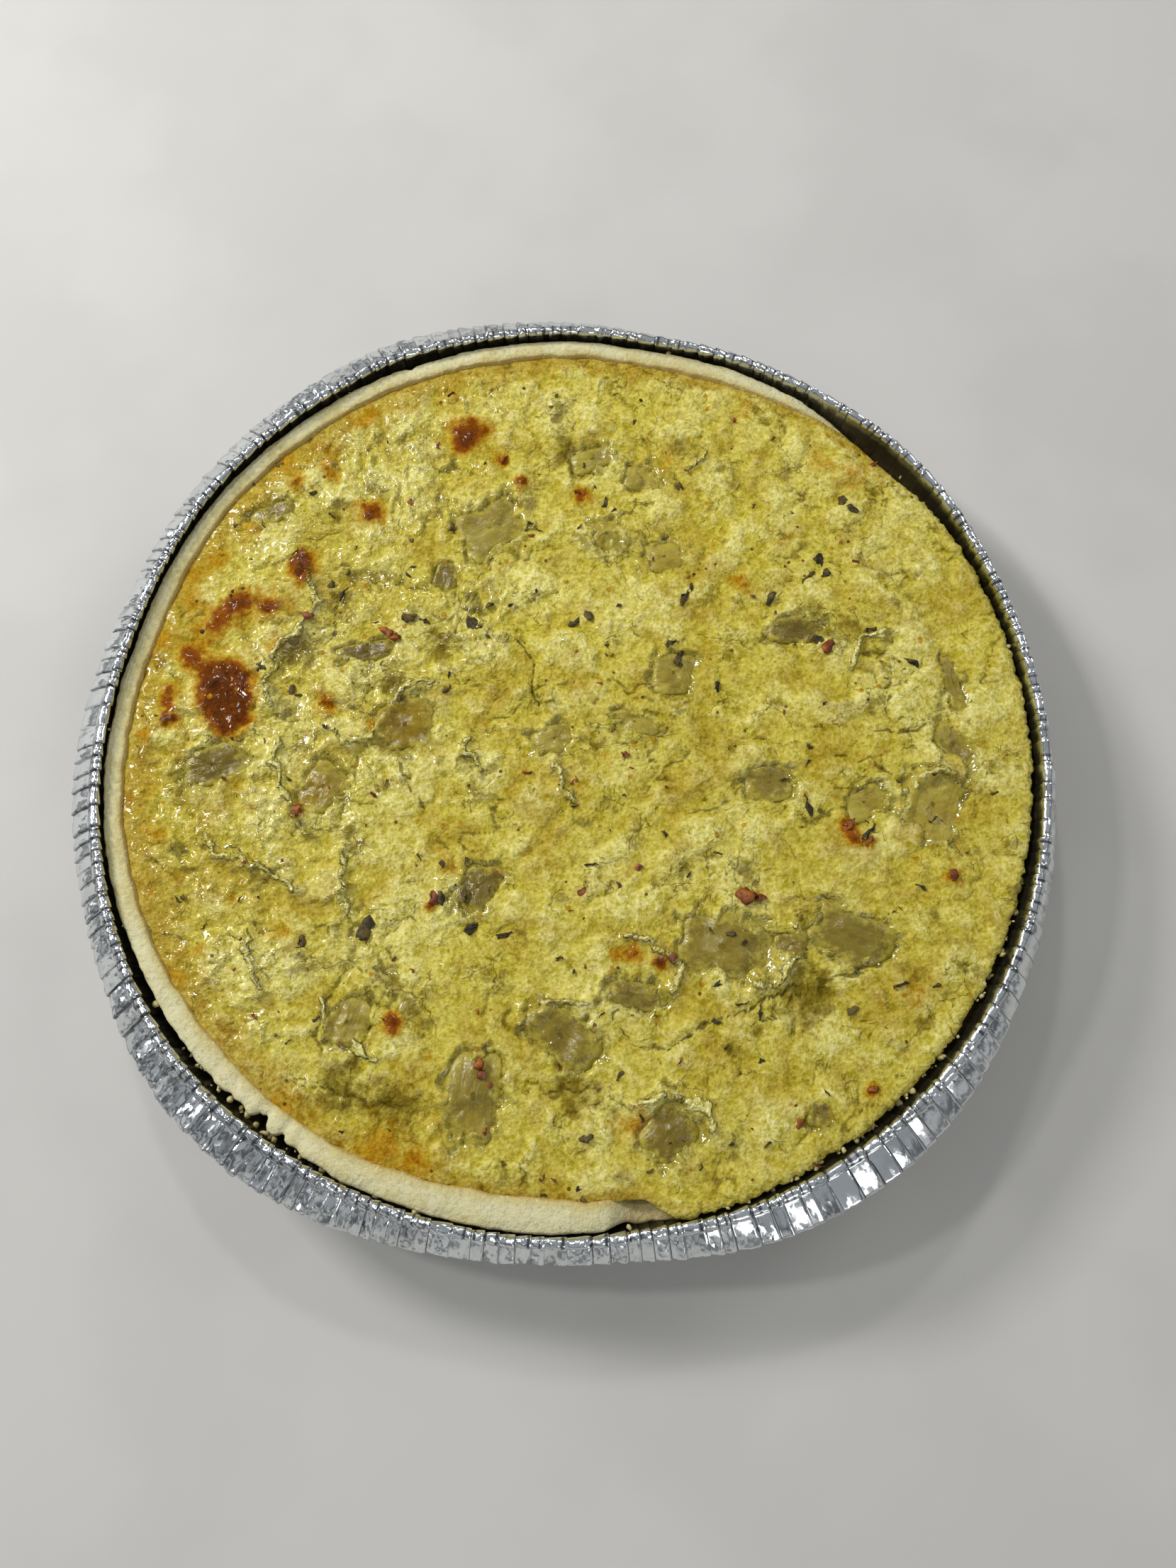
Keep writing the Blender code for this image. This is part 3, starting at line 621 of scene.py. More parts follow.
class FillingSkin:
    """The shape and the markings of the filling's baked skin."""

    # How far its parts rise or sink, in mm.
    swell = 0.6
    blister_rise = 0.5
    ridge_rise = 1.5
    fold_depth = 0.6
    window_rise = 0.25
    pocket_depth = 1.0

    def __init__(self, plan: TartPlan) -> None:
        """Draw the grains that make the skin uneven.

        Args:
            plan: The tart's sizes.
        """
        self.plan = plan
        self.lumps, self.warp_x, self.warp_y, self.fine = (Grain(seed) for seed in (3, 5, 8, 13))

    def warped(
        self, x: np.ndarray, y: np.ndarray, reach: float, size: float,
    ) -> tuple[np.ndarray, np.ndarray]:
        """Push places about at random, so that no marking has a drawn edge.

        Args:
            x: Places across.
            y: Places up.
            reach: About how far a place is pushed.
            size: How far apart the pushes differ.

        Returns:
            The new places across and up.
        """
        return (
            x + reach * self.warp_x.layered(x, y, size),
            y + reach * self.warp_y.layered(x, y, size),
        )

    def slow(self, x: np.ndarray, y: np.ndarray) -> np.ndarray:
        """Let the skin rise and fall slowly, as in the part's source.

        Args:
            x: Places across.
            y: Places up.

        Returns:
            A height at each place.
        """
        return (
            0.28 * np.sin(0.115 * x + 0.04 * y + 0.6) * np.cos(0.095 * y - 0.03 * x)
            + 0.22 * np.sin(0.21 * x - 0.13 * y + 2.1) * np.sin(0.19 * y + 0.07 * x + 0.8)
            + 0.15 * np.cos(0.34 * x + 0.29 * y + 1.0)
        )

    def curds(self, x: np.ndarray, y: np.ndarray) -> np.ndarray:
        """Raise rounded lumps of set curd with creases between them.

        Args:
            x: Places across.
            y: Places up.

        Returns:
            A height at each place.
        """
        large, small = self.curd_noise(x, y)
        shaggy = mix(0.3, 0.6, self.leftness(x, y))
        return 1.4 * np.minimum(large, 0.7) + shaggy * np.minimum(small, 0.8) - 0.5

    def leftness(self, x: np.ndarray, y: np.ndarray) -> np.ndarray:
        """0 on the right and 1 at the left, where the skin is thin, wet and wrinkled."""
        return ramp(-x + 0.25 * y, -25.0, 55.0)

    def puckers(self, x: np.ndarray, y: np.ndarray) -> np.ndarray:
        """Draw the wet skin into raised wrinkles, in patches, most of them at the left.

        Args:
            x: Places across.
            y: Places up.

        Returns:
            0 beside the wrinkles and up to 1 on them.
        """
        u, v = self.warped(x, y, 1.3, 5.0)
        lines = np.abs(self.warp_x.layered(u + 33.0, v - 61.0, 8.0, 2, 0.4))
        patch = ramp(self.warp_y.at(x - 44.0, y + 12.0, 14.0), -0.15, 0.3)
        zone = mix(0.25, 1.0, self.leftness(x, y)) * (1.0 - self.near_edge(x, y))
        return np.exp(-((lines / 0.075) ** 2)) * patch * zone

    def curd_noise(self, x: np.ndarray, y: np.ndarray) -> tuple[np.ndarray, np.ndarray]:
        """Draw the lumps of curd.

        Args:
            x: Places across.
            y: Places up.

        Returns:
            The large and the small lumps, each 0 in the creases between them.
        """
        u, v = self.warped(x, y, 2.0, 7.0)
        large = np.abs(self.lumps.layered(u, v, 13.0, 3, 0.5))
        small = np.abs(self.fine.layered(u + 40.0, v, 4.2, 3, 0.6))
        return large, small

    def creases(self, x: np.ndarray, y: np.ndarray) -> np.ndarray:
        """Find the thin creases between the lumps, in about half of the places, for painted shade.

        Args:
            x: Places across.
            y: Places up.

        Returns:
            0 on the lumps and up to 1 in the creases.
        """
        large, small = self.curd_noise(x, y)
        some = ramp(self.lumps.at(x + 77.0, y, 17.0), -0.25, 0.35)
        lines = np.exp(-((large / 0.07) ** 2)) * some
        return np.maximum(lines, 0.7 * np.exp(-((small / 0.09) ** 2)) * (0.3 + 0.7 * some))

    def near_edge(self, x: np.ndarray, y: np.ndarray) -> np.ndarray:
        """Find the last few millimetres before the filling's edge.

        Args:
            x: Places across.
            y: Places up.

        Returns:
            0 over the middle and 1 at the edge.
        """
        angle = np.degrees(np.arctan2(y, x)) % 360.0
        edge = self.plan.filling_radius(angle)
        return ramp(np.hypot(x, y), edge - 5.0, edge)

    def windows(self, x: np.ndarray, y: np.ndarray) -> tuple[np.ndarray, np.ndarray]:
        """Find where the skin is torn open over a piece of onion.

        Args:
            x: Places across.
            y: Places up.

        Returns:
            How much onion shows through, and the depth of the pocket that it lies in, 0 to 1.
        """
        u, v = self.warped(x, y, 1.3, 4.5)
        shown = np.zeros(np.shape(x))
        pocket = np.zeros(np.shape(x))
        torn = 0.42 * self.fine.layered(x, y, 4.0, 4, 0.65)
        for cut in ONIONS:
            near = np.hypot(x - cut.x, y - cut.y) < cut.length
            if not near.any():
                continue
            gap = cut.distance(u[near], v[near]) + torn[near] * (0.5 + cut.hidden)
            shown[near] = np.maximum(shown[near], 1.0 - ramp(gap, 0.85, 1.4))
            deep = 1.0 - ramp(gap, 0.86 - 0.20 * cut.hidden, 1.10 - 0.16 * cut.hidden)
            pocket[near] = np.maximum(pocket[near], deep)
        return shown, pocket

    def markings(self, x: np.ndarray, y: np.ndarray) -> dict[str, np.ndarray]:
        """The values that the filling's material reads, each from 0 to 1.

        Args:
            x: Places across.
            y: Places up.

        Returns:
            An array for each marking's name.
        """
        u, v = self.warped(x, y, 0.8, 3.0)
        shown, _ = self.windows(x, y)
        angle = np.degrees(np.arctan2(y, x)) % 360.0
        edge = self.plan.filling_radius(angle)
        radius = np.hypot(x, y)
        _, ridge, tent, raised = self.creased(x, y)
        left = self.leftness(x, y)
        back = ramp(y, 66.0, 82.0)
        rough = 1.6 * self.lumps.layered(x, y, 6.0)
        band = ramp(radius + rough, edge - mix(4.0, 11.0, left), edge - mix(0.5, 2.5, left))
        return {
            "browned": np.clip(spotted(u, v, BROWNED), 0.0, 1.3),
            "yellow": np.clip(spotted(u, v, YELLOW), 0.0, 1.0),
            "haze": np.clip(spotted(u, v, HAZE), 0.0, 1.0),
            "window": shown,
            "fold": tent,
            "wet": np.clip(1.4 * ridge + 0.55 * shown + self.puckers(x, y), 0.0, 1.0),
            "skinned": left * (1.0 - ramp(spotted(u, v, BROWNED), 0.15, 0.5)),
            "raised": raised,
            "band": band * self.plan.filling_held(angle),
            "edge": ramp(radius, edge - mix(2.2, 4.4, back), edge - 1.2 * back),
            "curd_top": np.clip(0.5 + 0.7 * self.curds(x, y), 0.0, 1.0),
            "crease": self.creases(x, y),
        }

    def creased(self, x: np.ndarray, y: np.ndarray) -> tuple[np.ndarray, ...]:
        """Find the drawn folds and ridges.

        Args:
            x: Places across.
            y: Places up.

        Returns:
            The folds, the ridges, and straight slopes up to the middle of each, all 0 to 1.
        """
        u, v = self.warped(x, y, 1.1, 3.5)
        fold, ridge, tent, raised = (np.zeros(np.shape(x)) for _ in range(4))
        for target, lines in ((fold, FOLDS), (ridge, RIDGES)):
            for half, strength, points in lines:
                xs, ys = [p[0] for p in points], [p[1] for p in points]
                near = (x > min(xs) - 6) & (x < max(xs) + 6) & (y > min(ys) - 6) & (y < max(ys) + 6)
                apart, share = line_distance(u[near], v[near], points)
                taper = ramp(share, 0.0, 0.15) * (1.0 - ramp(share, 0.85, 1.0))
                value = strength * taper * np.exp(-((apart / half) ** 2))
                target[near] = np.maximum(target[near], value)
                slopes = tent if target is fold else raised
                slope = taper * np.clip(1.0 - apart / 1.6, 0.0, 1.0)
                slopes[near] = np.maximum(slopes[near], slope)
        return fold, ridge, tent, raised

    def height(self, x: Values, y: Values, open_pockets: bool = True) -> np.ndarray:
        """Height of the skin.

        Args:
            x: Places across.
            y: Places up.
            open_pockets: Whether the skin dips where a piece of onion shows.

        Returns:
            Heights above the table.
        """
        x, y = np.asarray(x, dtype=float), np.asarray(y, dtype=float)
        calm = 1.0 - self.near_edge(x, y)
        blisters = self.blister_rise * np.clip(spotted(x, y, BROWNED), 0.0, 1.2)
        rise = self.swell * self.slow(x, y) + blisters + self.curds(x, y)
        fold, ridge, _, _ = self.creased(x, y)
        rise += self.ridge_rise * ridge - self.fold_depth * fold + self.puckers(x, y)
        dip = self.near_edge(x, y)
        held = self.plan.filling_held(np.degrees(np.arctan2(y, x)) % 360.0)
        crumbly = 0.3 * self.fine.layered(x, y, 2.2, 2) * (1.0 - held)
        top = self.plan.level + rise * (0.3 + 0.7 * calm) + mix(0.3, -0.1, held) * dip + crumbly * dip
        if open_pockets:
            shown, pocket = self.windows(x, y)
            top = top + self.window_rise * shown * (1.0 - pocket) - self.pocket_depth * pocket
        return top


def colour_stack(tree: Tree, base: str, layers: tuple) -> Socket:
    """Lay colours over each other in order.

    Args:
        tree: The material's node tree.
        base: The colour at the bottom, as hexadecimal digits.
        layers: For each colour its digits, a value, the value where it starts to show, the one
            where it shows most, and how much of it shows there.

    Returns:
        The socket of the finished colour.
    """
    result = to_linear(base)
    for colour, value, start, full, most in layers:
        share = add_node(
            tree, "ShaderNodeMapRange", {"interpolation_type": "SMOOTHSTEP"},
            {0: value, 1: start, 2: full, 3: 0.0, 4: most},
        ).outputs[0]
        node = add_node(
            tree, "ShaderNodeMix", {"data_type": "RGBA"},
            {0: share, 6: result, 7: to_linear(colour)},
        )
        result = node.outputs[2]
    return result


def new_material(name: str) -> tuple[Material, Tree, bpy.types.Node, Socket]:
    """Make a material.

    Args:
        name: Its name.

    Returns:
        The material, its tree, its Principled shader and the socket of Object coordinates.
    """
    material = bpy.data.materials.new(name)
    material.use_nodes = True
    tree = material.node_tree
    shader = tree.nodes["Principled BSDF"]
    place = add_node(tree, "ShaderNodeTexCoord").outputs["Object"]
    return material, tree, shader, place


def per_metre(size: float) -> float:
    """The scale of a pattern whose features are this many millimetres apart."""
    return 1.0 / (size * MM)


@dataclass(frozen=True)
class CustardFinish:
    """Egg and cheese custard baked in the open: a matt, finely grained, mottled yellow skin.

    The skin is opaque and dull. It is wet and shining only on raised folds, round the onion and on
    the blisters, which browned from orange to a deep red brown.
    """

    base: str = "cbbe5a"
    cream: str = "e2da92"
    ochre: str = "a68a34"
    # Olive: painted shade in the hollows between the curds.
    olive: str = "76640c"
    yellow: str = "cfc03c"
    haze: str = "6e5c12"
    band: str = "b0922e"
    stain: str = "946c0c"
    pale_edge: str = "cdc06c"
    film: str = "a19538"
    shadow: str = "463a08"
    orange: str = "b4860f"
    red_brown: str = "864200"
    deep: str = "582a00"
    # Painted light from the crumb's grain: painted shade at the bottom of a pit and a painted
    # highlight on its top.
    painted_pit_shade: tuple = (0.67, 0.62, 0.14)
    painted_top_highlight: tuple = (1.15, 1.15, 1.18)

    def make(self) -> Material:
        """Build the material.

        Returns:
            The new material.
        """
        material, tree, shader, place = new_material("baked egg and cheese custard")
        noise = {}
        for name, kind, size, detail, rough in (
            ("region", "FBM", 20.0, 2.0, 0.6), ("mottle", "FBM", 6.1, 4.0, 0.65),
            ("curd", "FBM", 3.4, 4.0, 0.7), ("crumb", "FBM", 1.6, 2.0, 0.6),
            ("grain", "FBM", 0.7, 1.0, 0.6), ("blot", "FBM", 9.7, 5.0, 0.72),
            ("wrinkle", "RIDGED_MULTIFRACTAL", 4.5, 1.0, 0.7), ("film", "FBM", 2.4, 1.0, 0.5),
        ):
            noise[name] = add_node(
                tree, "ShaderNodeTexNoise", {"noise_type": kind},
                {"Vector": place, "Scale": per_metre(size), "Detail": detail, "Roughness": rough},
            ).outputs[0]
        spot = {
            name: add_node(tree, "ShaderNodeAttribute", {"attribute_name": name}).outputs["Fac"]
            for name in (
                "browned", "yellow", "haze", "window", "fold", "wet", "band", "edge", "curd_top",
                "crease", "skinned", "raised",
            )
        }
        uneven = {}
        for name, source, other, amount in (
            ("browned", "browned", "curd", 1.4), ("yellow", "yellow", "blot", 1.8),
            ("haze", "haze", "curd", 2.0), ("window", "window", "curd", 1.8),
            ("band", "band", "mottle", 1.4), ("stain", "band", "curd", 3.2),
            ("fold", "fold", "crumb", 0.6), ("curd_top", "curd_top", "curd", 1.25),
            ("skinned", "skinned", "blot", 2.2), ("raised", "raised", "crumb", 0.5),
        ):
            pushed = add_node(
                tree, "ShaderNodeMath", {"operation": "MULTIPLY_ADD"},
                {0: noise[other], 1: amount, 2: spot[source]},
            ).outputs[0]
            uneven[name] = add_node(
                tree, "ShaderNodeMath", {"operation": "SUBTRACT"}, {0: pushed, 1: 0.5 * amount},
            ).outputs[0]
        hairs = self.hair_cracks(tree, place, noise["blot"])
        specks = self.specks(tree, place)
        colour = colour_stack(tree, self.base, (
            (self.yellow, uneven["yellow"], 0.45, 1.15, 0.6),
            (self.yellow, noise["region"], 0.50, 0.36, 0.3),
            (self.cream, uneven["curd_top"], 0.36, 1.02, 0.9),
            (self.ochre, noise["region"], 0.47, 0.33, 0.4),
            (self.ochre, noise["blot"], 0.46, 0.34, 0.45),
            (self.ochre, noise["mottle"], 0.51, 0.67, 0.5),
            (self.cream, noise["region"], 0.51, 0.66, 0.55),
            # Painted shade: olive in the hollows between the curds, where they stand low.
            (self.olive, uneven["curd_top"], 0.32, -0.15, 0.6),
            # Haze: see-through patches of the skin, and painted shade along the folds near the onion.
            (self.haze, uneven["haze"], 0.25, 0.85, 0.85),
            (self.haze, noise["blot"], 0.56, 0.66, 0.65),
            (self.pale_edge, spot["edge"], 0.0, 1.0, 0.6),
            (self.band, uneven["band"], 0.30, 1.10, 0.7),
            (self.stain, uneven["stain"], 0.85, 1.6, 0.7),
            (self.film, uneven["window"], 0.30, 1.05, 0.85),
            # Painted shade: the shadow colour laid in the creases between the curds, in the hair
            # cracks and along the folds.
            (self.shadow, spot["crease"], 0.28, 1.0, 0.7),
            (self.shadow, hairs, 0.0, 1.0, 0.7),
            (self.shadow, uneven["fold"], 0.68, 0.90, 0.75),
            (self.cream, uneven["raised"], 0.46, 0.82, 0.9),
            (self.orange, uneven["browned"], 0.10, 0.60, 0.85),
            (self.red_brown, uneven["browned"], 0.48, 0.88, 0.95),
            (self.deep, uneven["browned"], 0.85, 1.3, 0.85),
            (self.orange, specks["orange"], 0.0, 1.0, 0.85),
            (self.deep, specks["dark"], 0.0, 1.0, 0.85),
        ))
        # Painted shade in the pits of the crumb and a painted highlight on its tops, multiplied into
        # the colour.
        pitted = add_node(
            tree, "ShaderNodeMath", {"operation": "ADD"}, {0: noise["grain"], 1: noise["crumb"]},
        ).outputs[0]
        painted_grain_light = add_node(
            tree, "ShaderNodeMapRange", {"data_type": "FLOAT_VECTOR"},
            {"Vector": pitted, 7: (0.72, 0.72, 0.72), 8: (1.28, 1.28, 1.28),
             9: self.painted_pit_shade, 10: self.painted_top_highlight},
        ).outputs[1]
        shaded = add_node(
            tree, "ShaderNodeVectorMath", {"operation": "MULTIPLY"}, {0: colour, 1: painted_grain_light},
        ).outputs[0]
        gloss = None
        for value, start, full, most in (
            (spot["wet"], 0.15, 0.5, 1.0), (uneven["skinned"], 0.65, 1.15, 0.5),
            (spot["browned"], 0.5, 1.0, 0.2),
        ):
            share = add_node(
                tree, "ShaderNodeMapRange", {"interpolation_type": "SMOOTHSTEP"},
                {0: value, 1: start, 2: full, 3: 0.0, 4: most},
            ).outputs[0]
            gloss = share if gloss is None else add_node(
                tree, "ShaderNodeMath", {"operation": "MAXIMUM"}, {0: gloss, 1: share},
            ).outputs[0]
        ridge = add_node(
            tree, "ShaderNodeMapRange", {"interpolation_type": "SMOOTHSTEP"},
            {0: uneven["raised"], 1: 0.4, 2: 0.95},
        ).outputs[0]
        shaggy = add_node(
            tree, "ShaderNodeMapRange", {}, {0: uneven["skinned"], 1: 0.2, 2: 1.0, 3: 0.34, 4: 0.6},
        ).outputs[0]
        bump = None
        for height, strength, depth in (
            (ridge, 1.0, 1.0), (noise["wrinkle"], gloss, 0.7), (noise["curd"], shaggy, 1.0),
            (noise["crumb"], shaggy, 0.7), (noise["grain"], 0.9, 0.32),
        ):
            sockets = {"Height": height, "Strength": strength, "Distance": depth * MM}
            if bump is not None:
                sockets["Normal"] = bump
            bump = add_node(tree, "ShaderNodeBump", {}, sockets).outputs[0]
        film = None
        for height, depth in ((ridge, 0.5), (noise["wrinkle"], 0.3), (noise["film"], 0.45)):
            sockets = {"Height": height, "Strength": 1.0, "Distance": depth * MM}
            if film is not None:
                sockets["Normal"] = film
            film = add_node(tree, "ShaderNodeBump", {}, sockets).outputs[0]
        feed(tree, shader, {
            "Base Color": shaded, "Coat Weight": gloss, "Normal": bump, "Coat Normal": film,
            "Roughness": 0.7, "Specular IOR Level": 0.06, "Coat Roughness": 0.09, "IOR": 1.42,
        })
        return material

    def hair_cracks(self, tree: Tree, place: Socket, patches: Socket) -> Socket:
        """Hair-thin cracks between plates of skin about 8 mm across, in patches.

        Args:
            tree: The material's node tree.
            place: The socket of Object coordinates.
            patches: A noise that says where the cracks show.

        Returns:
            A socket that is 1 in a crack.
        """
        bend = add_node(
            tree, "ShaderNodeTexNoise", {},
            {"Vector": place, "Scale": per_metre(3.0), "Detail": 4.0},
        ).outputs["Color"]
        pushed = add_node(
            tree, "ShaderNodeVectorMath", {"operation": "MULTIPLY_ADD"},
            {0: bend, 1: (0.004, 0.004, 0.004), 2: place},
        ).outputs[0]
        gap = add_node(
            tree, "ShaderNodeTexVoronoi", {"feature": "DISTANCE_TO_EDGE"},
            {"Vector": pushed, "Scale": per_metre(8.0)},
        ).outputs[0]
        thin = add_node(
            tree, "ShaderNodeMapRange", {}, {0: gap, 1: 0.0, 2: 0.022, 3: 1.0, 4: 0.0},
        ).outputs[0]
        where = add_node(
            tree, "ShaderNodeMapRange", {}, {0: patches, 1: 0.47, 2: 0.56},
        ).outputs[0]
        return add_node(
            tree, "ShaderNodeMath", {"operation": "MULTIPLY"}, {0: thin, 1: where},
        ).outputs[0]

    def specks(self, tree: Tree, place: Socket) -> dict[str, Socket]:
        """Fine specks of ground spice and browned cheese, under 1 mm.

        Args:
            tree: The material's node tree.
            place: The socket of Object coordinates.

        Returns:
            The sockets of the orange and of the dark specks.
        """
        found = {}
        for name, apart, size, share in (("orange", 4.2, 0.10, 0.30), ("dark", 4.8, 0.06, 0.35)):
            cell = add_node(
                tree, "ShaderNodeTexVoronoi", {}, {"Vector": place, "Scale": per_metre(apart)},
            )
            near = add_node(
                tree, "ShaderNodeMapRange", {},
                {0: cell.outputs["Distance"], 1: size, 2: 1.6 * size, 3: 1.0, 4: 0.0},
            ).outputs[0]
            channel = add_node(tree, "ShaderNodeSeparateColor", {}, {0: cell.outputs["Color"]})
            some = add_node(
                tree, "ShaderNodeMath", {"operation": "LESS_THAN"}, {0: channel.outputs[0], 1: share},
            ).outputs[0]
            found[name] = add_node(
                tree, "ShaderNodeMath", {"operation": "MULTIPLY"}, {0: near, 1: some},
            ).outputs[0]
        return found


@dataclass(frozen=True)
class OnionFinish:
    """Onion baked until soft: wet, see-through flesh, grey olive to amber, under a custard film."""

    grey: str = "968428"
    amber: str = "9c8008"
    dark: str = "5c4a0c"
    # Deep: painted shade along the rim of a piece, under the overhanging skin.
    deep: str = "463808"
    film: str = "b6a63c"

    def make(self) -> Material:
        """Build the material.

        Returns:
            The new material.
        """
        material, tree, shader, place = new_material("soft baked onion flesh")
        spot = {
            name: add_node(tree, "ShaderNodeAttribute", {"attribute_name": name}).outputs["Fac"]
            for name in ("golden", "dark", "rim", "hidden", "along", "side")
        }
        cloud, fine = (
            add_node(
                tree, "ShaderNodeTexNoise", {},
                {"Vector": place, "Scale": per_metre(size), "Detail": detail, "Roughness": rough},
            ).outputs[0]
            for size, detail, rough in ((4.5, 6.0, 0.65), (1.4, 5.0, 0.7))
        )
        grown = add_node(
            tree, "ShaderNodeCombineXYZ", {}, {0: spot["along"], 1: spot["side"], 2: cloud},
        ).outputs[0]
        fibres = add_node(
            tree, "ShaderNodeTexNoise", {}, {"Vector": grown, "Scale": 1.0, "Detail": 3.0},
        ).outputs[0]
        torn, covered, shaded = (
            add_node(
                tree, "ShaderNodeMath", {"operation": "MULTIPLY_ADD"},
                {0: source, 1: amount, 2: spot[mark]},
            ).outputs[0]
            for source, amount, mark in (
                (fine, 1.4, "rim"), (cloud, 1.5, "hidden"), (cloud, 0.9, "rim"),
            )
        )
        colour = colour_stack(tree, self.grey, (
            (self.amber, spot["golden"], 0.0, 1.0, 1.0),
            (self.film, fibres, 0.54, 0.70, 0.35),
            (self.dark, fibres, 0.46, 0.32, 0.35),
            (self.dark, cloud, 0.42, 0.66, 0.5),
            (self.dark, spot["dark"], 0.0, 0.75, 0.8),
            # Painted shade: the deep colour along each piece's rim, where the skin overhangs it.
            (self.deep, shaded, 0.95, 1.35, 0.35),
            (self.film, torn, 1.22, 1.70, 0.85),
            (self.film, covered, 1.05, 1.45, 0.75),
        ))
        bump = None
        for height, depth in ((cloud, 0.7), (fibres, 0.35)):
            sockets = {"Height": height, "Strength": 0.8, "Distance": depth * MM}
            if bump is not None:
                sockets["Normal"] = bump
            bump = add_node(tree, "ShaderNodeBump", {}, sockets).outputs[0]
        feed(tree, shader, {
            "Base Color": colour, "Normal": bump, "Coat Normal": bump, "Roughness": 0.42,
            "Specular IOR Level": 0.2, "IOR": 1.38, "Coat Weight": 0.7, "Coat Roughness": 0.1,
        })
        return material


@dataclass(frozen=True)
class PastryFinish:
    """Shortcrust pastry, pressed and baked pale: a smooth, floury, cream rim with a fine crumb."""

    base: str = "d9d2a6"
    butter: str = "cbbe7f"
    toasted: str = "b99a52"
    crumb: str = "ad9c5c"
    flour: str = "e6e0bc"

    def make(self) -> Material:
        """Build the material.

        Returns:
            The new material.
        """
        material, tree, shader, place = new_material("pale baked shortcrust pastry")
        inner, low = (
            add_node(tree, "ShaderNodeAttribute", {"attribute_name": name}).outputs["Fac"]
            for name in ("inner", "low")
        )
        cloud, crumb = (
            add_node(
                tree, "ShaderNodeTexNoise", {},
                {"Vector": place, "Scale": per_metre(size), "Detail": detail, "Roughness": rough},
            ).outputs[0]
            for size, detail, rough in ((9.0, 5.0, 0.6), (0.9, 4.0, 0.65))
        )
        soaked = add_node(
            tree, "ShaderNodeMath", {"operation": "MULTIPLY_ADD"}, {0: cloud, 1: 0.8, 2: inner},
        ).outputs[0]
        colour = colour_stack(tree, self.base, (
            (self.butter, cloud, 0.44, 0.62, 0.6),
            (self.butter, soaked, 0.60, 1.05, 0.85),
            (self.toasted, soaked, 1.0, 1.45, 0.75),
            (self.crumb, crumb, 0.54, 0.68, 0.5),
            (self.flour, crumb, 0.44, 0.34, 0.6),
            (self.toasted, low, 0.0, 1.0, 0.5),
        ))
        coarse = add_node(
            tree, "ShaderNodeBump", {}, {"Height": cloud, "Strength": 0.8, "Distance": 0.001},
        ).outputs[0]
        bump = add_node(
            tree, "ShaderNodeBump", {},
            {"Height": crumb, "Strength": 0.9, "Distance": 0.0004, "Normal": coarse},
        ).outputs[0]
        feed(tree, shader, {
            "Base Color": colour, "Normal": bump, "Roughness": 0.7, "Specular IOR Level": 0.2,
            "IOR": 1.45,
        })
        return material


